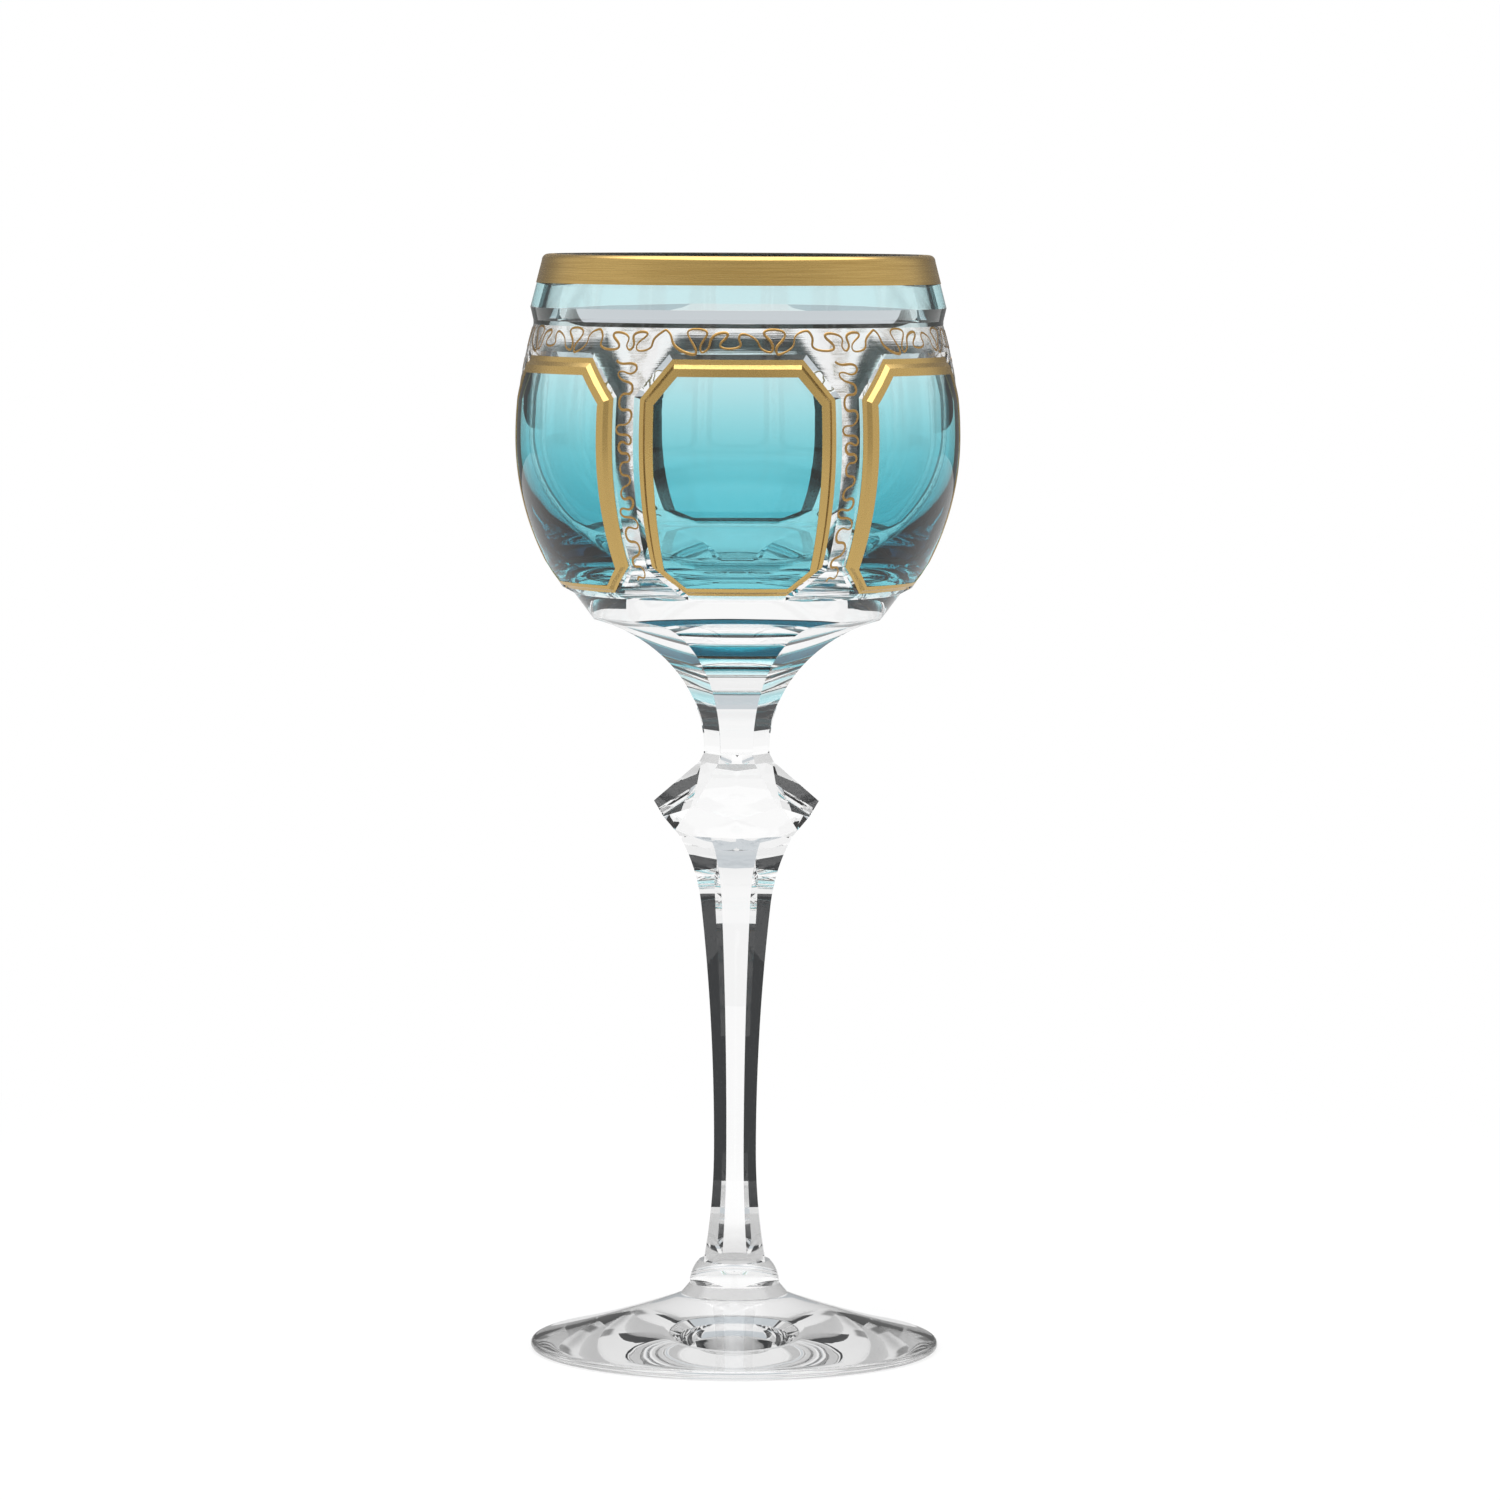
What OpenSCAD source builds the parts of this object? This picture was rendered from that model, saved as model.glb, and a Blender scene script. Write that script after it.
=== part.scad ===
// White wine glass: a cased and cut crystal bowl on a six-sided stem, with fired gilding.
// Millimetres, +Z up. The origin is the middle of the foot's flat underside,
// and the first panel of the bowl faces -Y.

/* [Foot] */
// Greatest radius of the foot
foot_r = 38.2; // [34:0.1:44]
// Thickness of the foot's round edge
foot_edge_t = 1.8; // [1.2:0.1:2.6]
// Height of the foot where the button stands on it
foot_h = 10.2; // [8:0.1:13]
// Radius of the hollow sweep of the foot's upper side
foot_sweep_r = 250; // [150:10:600]

/* [Button] */
// Height of the round button between foot and stem
button_h = 6.4; // [5.5:0.1:8]
// Radius of the button's skirt on the foot
button_skirt_r = 10; // [9:0.1:12]
// Height of the skirt
button_skirt_h = 2.1; // [1.5:0.1:2.5]
// Radius of the button at its widest, above the skirt
button_r = 8.4; // [7.8:0.1:8.8]

/* [Stem] */
// Height of the six-sided stem
stem_h = 80.4; // [70:0.1:95]
// Half the width across flats at the stem's waist
stem_waist_a = 3.93; // [3.5:0.01:4.4]
// Height of the waist above the stem's lower end
stem_waist_up = 21.4; // [18:0.1:24]
// Radius of the sweep below the waist
stem_low_sweep_r = 127; // [120:1:160]
// Radius of the long sweep above the waist
stem_sweep_r = 418; // [380:1:480]
// Height of the flare under the knop
stem_flare_h = 13; // [10:0.1:15]
// Radius of that flare
stem_flare_r = 36; // [32:1:45]

/* [Knop] */
// Height of the knop
knop_h = 15; // [13:0.1:17]
// Radius of the knop at the points of its girdle
knop_tip_r = 16.2; // [14.5:0.1:18]
// Height of those points above the knop's lower end
knop_tip_up = 7.04; // [6:0.01:8]
// Height of the collar that leads into the bowl's neck
knop_collar_h = 1.6; // [1:0.1:2]
// Half the width across flats at the foot of the collar
knop_collar_a = 6; // [5.7:0.1:6.6]

/* [Bowl] */
// Height of the bowl with its neck
bowl_h = 93; // [88:0.5:100]
// Half the width across flats of the neck
neck_a = 5.3; // [4.8:0.1:5.6]
// Length of straight neck below the flutes
neck_h = 1; // [0.5:0.1:2]
// Radius of the hollow flutes under the bowl
flute_r = 25; // [22:0.5:26]
// Radius of the shoulder below the panels
shoulder_r = 30.4; // [29:0.1:31.5]
// Drop of the shoulder's edge below the panels
shoulder_drop = 1.2; // [0.8:0.1:1.6]
// Slope of the shoulder, in radius for each unit of height
shoulder_slope = 0.75; // [0.7:0.01:0.8]
// Greatest radius of the bowl, on the panels
bowl_r = 41.45; // [40.8:0.05:43]
// Height of the greatest radius above the lower edge of the panels
bowl_waist_up = 27.9; // [26:0.1:30]
// Radius of the bowl's outline above its waist
upper_sweep_r = 72; // [66:0.5:80]
// Radius of the bowl's outline below its waist
lower_sweep_r = 50; // [48:0.5:54]

/* [Inside of the bowl] */
// Radius of the mouth at the lip
mouth_r = 33.4; // [33.2:0.1:33.8]
// Greatest radius of the inside
inside_r = 39; // [38.6:0.1:39.1]
// Height of that radius above the bowl's lower end
inside_waist_up = 59.5; // [58.5:0.5:60.5]
// Radius of the inside's outline above that height, up to the straight part at the mouth
inside_upper_r = 91; // [84:1:98]
// Radius of the inside's outline below that height
inside_sweep_r = 32; // [31:0.5:33]
// Radius of the round corner at the bottom
inside_corner_r = 12.5; // [11:0.5:14]
// Height of the bottom of the inside above the bowl's lower end
inside_floor_up = 34.6; // [34.2:0.1:36]

/* [Rim] */
// Outer radius of the gilded lip
rim_r = 36.3; // [36:0.1:37]
// Outer radius at the lower edge of the coloured rim
rim_low_r = 38.85; // [38.5:0.05:39.2]
// Height of the coloured rim
rim_h = 9.9; // [8.5:0.1:11]
// Thickness of the coloured layer at the rim
rim_casing_t = 0.4; // [0.3:0.1:0.7]
// Height of the gold band on the rim
rim_gold_h = 5.4; // [4:0.1:7]
// Width of the gold on top of the lip
lip_gold_w = 1.4; // [1:0.1:1.7]
// Height of the plain step under the coloured rim
step_h = 3.2; // [2.6:0.1:3.6]
// Height of the undercut face of that step
step_undercut_h = 2.4; // [2:0.1:2.5]
// Radius at the bottom of the step
step_r = 38.1; // [37.8:0.1:38.4]
// Height of the clear frieze between the step and the panels
frieze_h = 5.7; // [5:0.1:6.5]

/* [Panels] */
// Number of panels round the bowl
panel_count = 6; // [6:1:6]
// Height of a panel
panel_h = 43; // [41:0.5:44]
// Half the angle that a panel takes up round the bowl
panel_half_angle = 26; // [24:0.5:27]
// How far the panels stand out from the clear ground
panel_proud = 0.3; // [0.2:0.05:0.4]
// Half the length of the straight top edge
panel_top_w = 12.1; // [10:0.1:14]
// Slope of the cut corners at the top
panel_top_slope = 1.2; // [1:0.05:1.4]
// Half the length of the straight bottom edge
panel_bottom_w = 9.15; // [8:0.05:11]
// Slope of the cut corners at the bottom
panel_bottom_slope = 0.79; // [0.7:0.01:0.9]
// Thickness of the coloured glass at the top of a panel
panel_top_t = 0.4; // [0.4:0.1:0.7]
// Thickness of the coloured glass at the waist
panel_waist_t = 1.4; // [1.2:0.1:1.6]
// Thickness of the coloured glass at the bottom of a panel
panel_bottom_t = 3.4; // [3:0.1:3.8]

/* [Gilding] */
// Thickness of the fired gold, as modelled
gild_t = 0.2; // [0.15:0.05:0.25]
// Width of gold on the face of a panel, at its top and sides
gild_margin = 3.1; // [2.4:0.1:3.6]
// Width of that gold at the bottom and its cut corners
gild_low_margin = 1.4; // [1:0.1:2]
// Width of the groove cut round a panel
groove_w = 1; // [0.8:0.1:1.2]
// Depth of that groove below the clear ground
groove_d = 0.6; // [0.4:0.1:0.6]

/* [Hidden] */

$fn = 180;
fine_fn = 720;
sweep_steps = 20;
reach = 60;
overlap = 1;
panel_step = 360 / panel_count;

// Heights of the joints, from the table upwards
z_button = foot_h;
z_stem = z_button + button_h;
z_knop = z_stem + stem_h;
z_bowl = z_knop + knop_h;
z_lip = z_bowl + bowl_h;

// Heights on the bowl, from the lip downwards
z_glass_lip = z_lip - gild_t;
z_gold = z_lip - rim_gold_h;
z_rim = z_lip - rim_h;
z_undercut = z_rim - step_undercut_h;
z_frieze = z_rim - step_h;
z_panel_top = z_frieze - frieze_h;
z_panel_bottom = z_panel_top - panel_h;
z_shoulder = z_panel_bottom - shoulder_drop;
z_waist = z_panel_bottom + bowl_waist_up;
z_flute = z_bowl + neck_h;

// Radius of a surface that stands out by a given amount, at a height on the bowl's sweeps
ground_r = bowl_r - panel_proud;
function sweep_r(z) = z < z_waist ? lower_sweep_r : upper_sweep_r;
function bowl_r_at(z, out) =
    ground_r - sweep_r(z) + sqrt(pow(sweep_r(z) + out, 2) - pow(z - z_waist, 2));

// Outer radius of the gilded rim at a height
rim_slope = (rim_low_r - rim_r) / rim_h;
function rim_r_at(z) = rim_r + (z_lip - z) * rim_slope;

// Centre of the circle through three points
function circle_centre(p, q, s) =
    let (
        a = q - p,
        b = s - p,
        d = 2 * (a.x * b.y - a.y * b.x)
    )
    p + [b.y * (a * a) - a.y * (b * b), a.x * (b * b) - b.x * (a * a)] / d;

// Back of the coloured panels: an arc through its depth at the top, the waist and the bottom
panel_tilt = asin(bowl_waist_up / lower_sweep_r);
back_top = [bowl_r_at(z_panel_top, panel_proud) - panel_top_t, z_panel_top];
back_waist = [bowl_r - panel_waist_t, z_waist];
back_bottom = [
    bowl_r_at(z_panel_bottom, panel_proud) - panel_bottom_t * cos(panel_tilt),
    z_panel_bottom + panel_bottom_t * sin(panel_tilt)
];
back_centre = circle_centre(back_top, back_waist, back_bottom);
back_r = norm(back_top - back_centre);

// Stem: the flare starts at the same slope as the long sweep ends
z_stem_waist = z_stem + stem_waist_up;
z_flare = z_knop - stem_flare_h;
flare_angle = asin((z_flare - z_stem_waist) / stem_sweep_r);
flare_x = stem_waist_a + stem_sweep_r * (1 - cos(flare_angle)) + stem_flare_r * cos(flare_angle);
flare_z = z_flare - stem_flare_r * sin(flare_angle);
stem_top_a = flare_x - sqrt(pow(stem_flare_r, 2) - pow(z_knop - flare_z, 2));
stem_low_a = stem_waist_a + stem_low_sweep_r - sqrt(pow(stem_low_sweep_r, 2) - pow(stem_waist_up, 2));

// A circle at a place on an outline
module disc(x, z, r) {
    translate([x, z]) circle(r = r, $fn = r > 100 ? fine_fn : $fn);
}

// A strip of the right half plane between two heights
module strip(low, high) {
    translate([0, low]) square([reach, high - low]);
}

// Cuts six sides into a turned blank, the first child. The second child is the half outline of what
// each side takes away. The first side faces +X when it isn't turned, so one edge faces the front.
module six_sided(turn = 0) {
    difference() {
        children(0);
        for (side = [0:5])
            rotate([0, 0, turn + 60 * side])
                rotate([90, 0, 0])
                    linear_extrude(height = 2 * reach, center = true) children(1);
    }
}

// Half outline of the bowl's sweeps, standing out from the clear ground by a given amount
module sweep_outline(out) {
    intersection() {
        disc(ground_r - lower_sweep_r, z_waist, lower_sweep_r + out);
        strip(z_shoulder - 2, z_waist);
    }
    intersection() {
        disc(ground_r - upper_sweep_r, z_waist, upper_sweep_r + out);
        strip(z_waist, z_frieze);
    }
}

// Outline of a panel seen from the front, grown by one amount at the top and another at its three
// lower sides; its sides are wider than its angle
function panel_outline(grow, low_grow) =
    let (
        side = bowl_r / 2,
        top_w = panel_top_w + grow * tan((90 - atan(1 / panel_top_slope)) / 2),
        bottom_w = panel_bottom_w + low_grow * tan((90 - atan(1 / panel_bottom_slope)) / 2),
        high = z_panel_top + grow,
        low = z_panel_bottom - low_grow,
        right = [
            [bottom_w, low],
            [side, low + (side - bottom_w) * panel_bottom_slope],
            [side, high - (side - top_w) * panel_top_slope],
            [top_w, high]
        ]
    )
    concat(right, [for (i = [3:-1:0]) [-right[i].x, right[i].y]]);

// Solid behind the panel's outline at the front of the bowl, with the given section as its depth
module panel_block(grow, low_grow) {
    half_angle = panel_half_angle + asin(grow / bowl_r);
    intersection() {
        rotate([90, 0, 0])
            linear_extrude(height = reach) polygon(panel_outline(grow, low_grow));
        rotate([0, 0, -90 - half_angle])
            rotate_extrude(angle = 2 * half_angle) children();
    }
}

// Section of the coloured glass of a panel
module panel_section() {
    difference() {
        sweep_outline(panel_proud);
        disc(back_centre.x, back_centre.y, back_r);
    }
}

// Section of what is cut away round a panel
module groove_section() {
    difference() {
        strip(z_shoulder, z_frieze);
        sweep_outline(-groove_d);
        polygon([[0, z_shoulder], [reach / 2, z_shoulder], [0, z_panel_bottom]]);
    }
}

// Section of the gold on a panel: from the groove's floor to just above the face
module gild_section() {
    difference() {
        sweep_outline(panel_proud + gild_t);
        sweep_outline(-groove_d);
    }
}

// Foot: a flat disc with a round edge, rising in a hollow sweep to the button
module foot() {
    edge_r = foot_edge_t / 2;
    inner = [button_skirt_r, foot_h];
    outer = [foot_r - edge_r, foot_edge_t];
    across = outer - inner;
    square_to = [-across.y, across.x] / norm(across);
    middle = (inner + outer) / 2 + square_to * sqrt(pow(foot_sweep_r, 2) - pow(norm(across) / 2, 2));
    color("white", 0.45)
        rotate_extrude() {
            difference() {
                polygon([[0, 0], [outer.x, 0], outer, inner, [0, foot_h]]);
                disc(middle.x, middle.y, foot_sweep_r);
            }
            disc(outer.x, edge_r, edge_r);
        }
}

// Button: a bulge on a small skirt, cut flat where the stem is joined
module foot_button() {
    top_r = stem_low_a / cos(30);
    bulge_z = z_button + button_skirt_h;
    rise = z_stem - bulge_z;
    bulge_x = (pow(button_r, 2) - pow(top_r, 2) - pow(rise, 2)) / (2 * (button_r - top_r));
    color("white", 0.45)
        rotate_extrude() {
            polygon([[0, z_button], [button_skirt_r, z_button], [button_r, bulge_z], [0, bulge_z]]);
            intersection() {
                disc(bulge_x, bulge_z, button_r - bulge_x);
                strip(bulge_z, z_stem);
            }
        }
}

// Stem: six flat sides, drawn in to a waist, with an edge to the front
module stem() {
    color("white", 0.45)
        six_sided() {
            translate([0, 0, z_stem]) cylinder(r = stem_top_a / cos(30) + 1, h = stem_h);
            union() {
                intersection() {
                    disc(stem_waist_a + stem_low_sweep_r, z_stem_waist, stem_low_sweep_r);
                    strip(z_stem - 1, z_stem_waist);
                }
                intersection() {
                    disc(stem_waist_a + stem_sweep_r, z_stem_waist, stem_sweep_r);
                    strip(z_stem_waist, z_flare);
                }
                intersection() {
                    disc(flare_x, flare_z, stem_flare_r);
                    strip(z_flare, z_knop + 1);
                }
            }
        }
}

// Knop: six sides cut from above and six from below, half a side apart, so that its girdle zigzags
module knop() {
    z_tip = z_knop + knop_tip_up;
    z_collar = z_bowl - knop_collar_h;
    upper_slope = (knop_tip_r * cos(30) - knop_collar_a) / (z_collar - z_tip);
    collar_slope = (knop_collar_a - neck_a) / knop_collar_h;
    lower_slope = (knop_tip_r - stem_top_a) / knop_tip_up;
    low = z_knop - 1;
    high = z_bowl + 1;
    color("white", 0.45)
        six_sided(30) {
            six_sided() {
                translate([0, 0, z_knop]) cylinder(r = 2 * knop_tip_r, h = knop_h);
                polygon([[stem_top_a - lower_slope, low], [stem_top_a + (knop_h + 1) * lower_slope, high],
                         [reach, high], [reach, low]]);
            }
            polygon([[knop_collar_a + (z_collar - low) * upper_slope, low], [knop_collar_a, z_collar],
                     [neck_a - collar_slope, high], [reach, high], [reach, low]]);
        }
}

// Half outline of the clear bowl before its neck is fluted, in short steps along the two sweeps
module bowl_outline() {
    cone_low_r = shoulder_r - (z_shoulder - z_bowl) * shoulder_slope;
    rise = (z_frieze - z_panel_bottom) / sweep_steps;
    sweep_heights = [for (i = [0:sweep_steps]) z_panel_bottom + i * rise];
    rim_glass_r = rim_r_at(z_rim) - gild_t;
    lip_glass_r = rim_r_at(z_glass_lip) - gild_t;
    polygon(concat(
        [[0, z_bowl], [cone_low_r, z_bowl], [shoulder_r, z_shoulder]],
        [for (z = sweep_heights) [bowl_r_at(z, 0), z]],
        [[step_r, z_frieze], [step_r, z_undercut], [rim_glass_r, z_rim]],
        [[rim_glass_r - rim_casing_t, z_rim], [lip_glass_r - rim_casing_t, z_glass_lip], [0, z_glass_lip]]
    ));
}

// Half outline of the inside: straight at the mouth, a long arc, a sweep, a round corner and a flat floor
module inside_outline() {
    z_inside = z_bowl + inside_waist_up;
    z_floor = z_bowl + inside_floor_up;
    z_corner = z_floor + inside_corner_r;
    sweep_x = inside_r - inside_sweep_r;
    corner_gap = inside_sweep_r - inside_corner_r;
    corner_x = sweep_x + sqrt(pow(corner_gap, 2) - pow(z_inside - z_corner, 2));
    z_tangent = z_inside - (z_inside - z_corner) * inside_sweep_r / corner_gap;
    upper_x = inside_r - inside_upper_r;
    to_mouth = [mouth_r - upper_x, z_lip - z_inside];
    lean = atan2(to_mouth.y, to_mouth.x) - acos(inside_upper_r / norm(to_mouth));
    touch = [upper_x + inside_upper_r * cos(lean), z_inside + inside_upper_r * sin(lean)];
    over = overlap / (z_lip - touch.y);
    translate([0, z_floor]) square([corner_x, z_inside - z_floor + overlap]);
    disc(corner_x, z_corner, inside_corner_r);
    intersection() {
        disc(sweep_x, z_inside, inside_sweep_r);
        strip(z_tangent, z_inside + overlap);
    }
    intersection() {
        disc(upper_x, z_inside, inside_upper_r);
        strip(z_inside, touch.y);
    }
    polygon([[0, touch.y - overlap], [touch.x, touch.y - overlap], touch,
             [mouth_r - over * (touch.x - mouth_r), z_lip + overlap], [0, z_lip + overlap]]);
}

// Bowl: clear glass with six hollow flutes under it, pocketed for the coloured panels and their grooves
module bowl() {
    color("white", 0.45)
        difference() {
            six_sided(30) {
                rotate_extrude()
                    difference() {
                        bowl_outline();
                        inside_outline();
                    }
                union() {
                    translate([neck_a, z_bowl - 1]) square([reach, neck_h + 1]);
                    translate([neck_a + flute_r, z_flute]) square([reach, flute_r]);
                    intersection() {
                        disc(neck_a + flute_r, z_flute, flute_r);
                        strip(z_flute, z_flute + flute_r);
                    }
                }
            }
            for (i = [1:panel_count])
                rotate([0, 0, (i - 1) * panel_step]) {
                    panel_block(0, 0) panel_section();
                    panel_block(groove_w, groove_w) groove_section();
                }
        }
}

// Coloured ring left standing under the lip
module rim_casing() {
    low_r = rim_r_at(z_rim) - gild_t;
    high_r = rim_r_at(z_glass_lip) - gild_t;
    color("mediumturquoise", 0.6)
        rotate_extrude()
            polygon([[low_r - rim_casing_t, z_rim], [low_r, z_rim],
                     [high_r, z_glass_lip], [high_r - rim_casing_t, z_glass_lip]]);
}

// Gold band on the coloured ring, drawn over the edge of the lip
module rim_gilding() {
    color("goldenrod")
        rotate_extrude()
            polygon([[rim_r_at(z_gold) - gild_t, z_gold], [rim_r_at(z_gold), z_gold],
                     [rim_r, z_lip], [rim_r - lip_gold_w, z_lip],
                     [rim_r - lip_gold_w, z_glass_lip], [rim_r_at(z_glass_lip) - gild_t, z_glass_lip]]);
}

// Coloured panel number i, counted from the front towards +X
module panel(i) {
    color("mediumturquoise", 0.6)
        rotate([0, 0, (i - 1) * panel_step]) panel_block(0, 0) panel_section();
}

// Gold frame of panel number i: on the groove's wall and on the margin of the face
module panel_gilding(i) {
    color("goldenrod")
        rotate([0, 0, (i - 1) * panel_step])
            difference() {
                panel_block(gild_t, gild_t) gild_section();
                panel_block(0, 0) panel_section();
                panel_block(-gild_margin, -gild_low_margin) strip(z_shoulder, z_frieze);
            }
}

foot();
foot_button();
stem();
knop();
bowl();
rim_casing();
rim_gilding();
for (i = [1:panel_count]) {
    panel(i);
    panel_gilding(i);
}
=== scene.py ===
"""Looks of a cut and gilded white wine glass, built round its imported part."""

import logging
import math
from dataclasses import dataclass, field
from enum import Enum, IntEnum
from typing import Callable, Dict, List, Optional, Sequence, Tuple

import bmesh
import bpy
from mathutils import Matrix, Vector


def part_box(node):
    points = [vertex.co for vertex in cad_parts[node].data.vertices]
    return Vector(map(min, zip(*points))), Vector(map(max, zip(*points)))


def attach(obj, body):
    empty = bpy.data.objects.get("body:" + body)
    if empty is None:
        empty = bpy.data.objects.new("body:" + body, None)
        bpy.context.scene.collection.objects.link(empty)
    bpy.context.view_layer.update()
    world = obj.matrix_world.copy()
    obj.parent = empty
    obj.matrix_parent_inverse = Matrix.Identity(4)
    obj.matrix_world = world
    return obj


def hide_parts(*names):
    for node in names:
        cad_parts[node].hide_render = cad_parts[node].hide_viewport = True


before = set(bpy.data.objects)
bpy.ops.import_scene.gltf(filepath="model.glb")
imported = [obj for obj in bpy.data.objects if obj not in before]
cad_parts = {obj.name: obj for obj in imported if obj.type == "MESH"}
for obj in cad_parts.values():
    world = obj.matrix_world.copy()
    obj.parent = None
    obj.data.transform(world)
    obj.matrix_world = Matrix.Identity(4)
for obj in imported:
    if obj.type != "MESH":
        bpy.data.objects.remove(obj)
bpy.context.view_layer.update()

MM = 0.001
TAU = 2 * math.pi
SIDES = 6
SECTOR = TAU / SIDES
# How near to a joint a face lies that is part of it, and the gap that is merged, in metres
TOUCH = 1e-6
WELD = 2e-6
# Z of a piece's back while the piece is still a flat pattern
BACK = -0.01
LOG = logging.getLogger("wine_glass")

Point = Tuple[float, float]
Colour = Tuple[float, float, float]
FaceTest = Callable[[Vector, Vector], bool]
FaceChoice = Callable[[Vector, Vector], int]


class Slot(Enum):
    """Material slots of the part's record."""

    CRYSTAL = "crystal"
    AQUA = "aqua_glass"
    GOLD = "gold"


class Cut(IntEnum):
    """How a face of the clear glass is finished, numbered in the order of its materials."""

    POLISHED = 0
    FUSED = 1
    GROUND = 2


HEIGHTS: Dict[str, Point] = {
    node: (float(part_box(node)[0][2]), float(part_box(node)[1][2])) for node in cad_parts
}


def node_low(node: str) -> float:
    """Height of a node's lowest point, in metres."""
    return HEIGHTS[node][0]


def node_high(node: str) -> float:
    """Height of a node's highest point, in metres."""
    return HEIGHTS[node][1]


def spread(start: float, stop: float, steps: int) -> List[float]:
    """Values from start to stop in even steps, both ends included."""
    return [start + (stop - start) * i / steps for i in range(steps + 1)]


def arc(centre: Point, radius: float, start: float, end: float, steps: int) -> List[Point]:
    """Points on an arc of an outline.

    Args:
        centre: Middle of the circle, as distance from the axis and height.
        radius: Radius of the circle.
        start: Height at which the arc starts.
        end: Height at which it ends.
        steps: Number of steps.

    Returns:
        The points on the outer half of the circle, both ends included.
    """
    first = math.asin(max(-1.0, min(1.0, (start - centre[1]) / radius)))
    last = math.asin(max(-1.0, min(1.0, (end - centre[1]) / radius)))
    turns = spread(first, last, steps)
    return [(centre[0] + radius * math.cos(t), centre[1] + radius * math.sin(t)) for t in turns]


def circle_through(p: Point, q: Point, s: Point) -> Tuple[Point, float]:
    """Circle through three points.

    Args:
        p: First point.
        q: Second point.
        s: Third point.

    Returns:
        The circle's centre and its radius.
    """
    ax, ay, bx, by = q[0] - p[0], q[1] - p[1], s[0] - p[0], s[1] - p[1]
    d = 2 * (ax * by - ay * bx)
    a2, b2 = ax * ax + ay * ay, bx * bx + by * by
    x, y = (by * a2 - ay * b2) / d, (ax * b2 - bx * a2) / d
    return (p[0] + x, p[1] + y), math.hypot(x, y)


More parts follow.
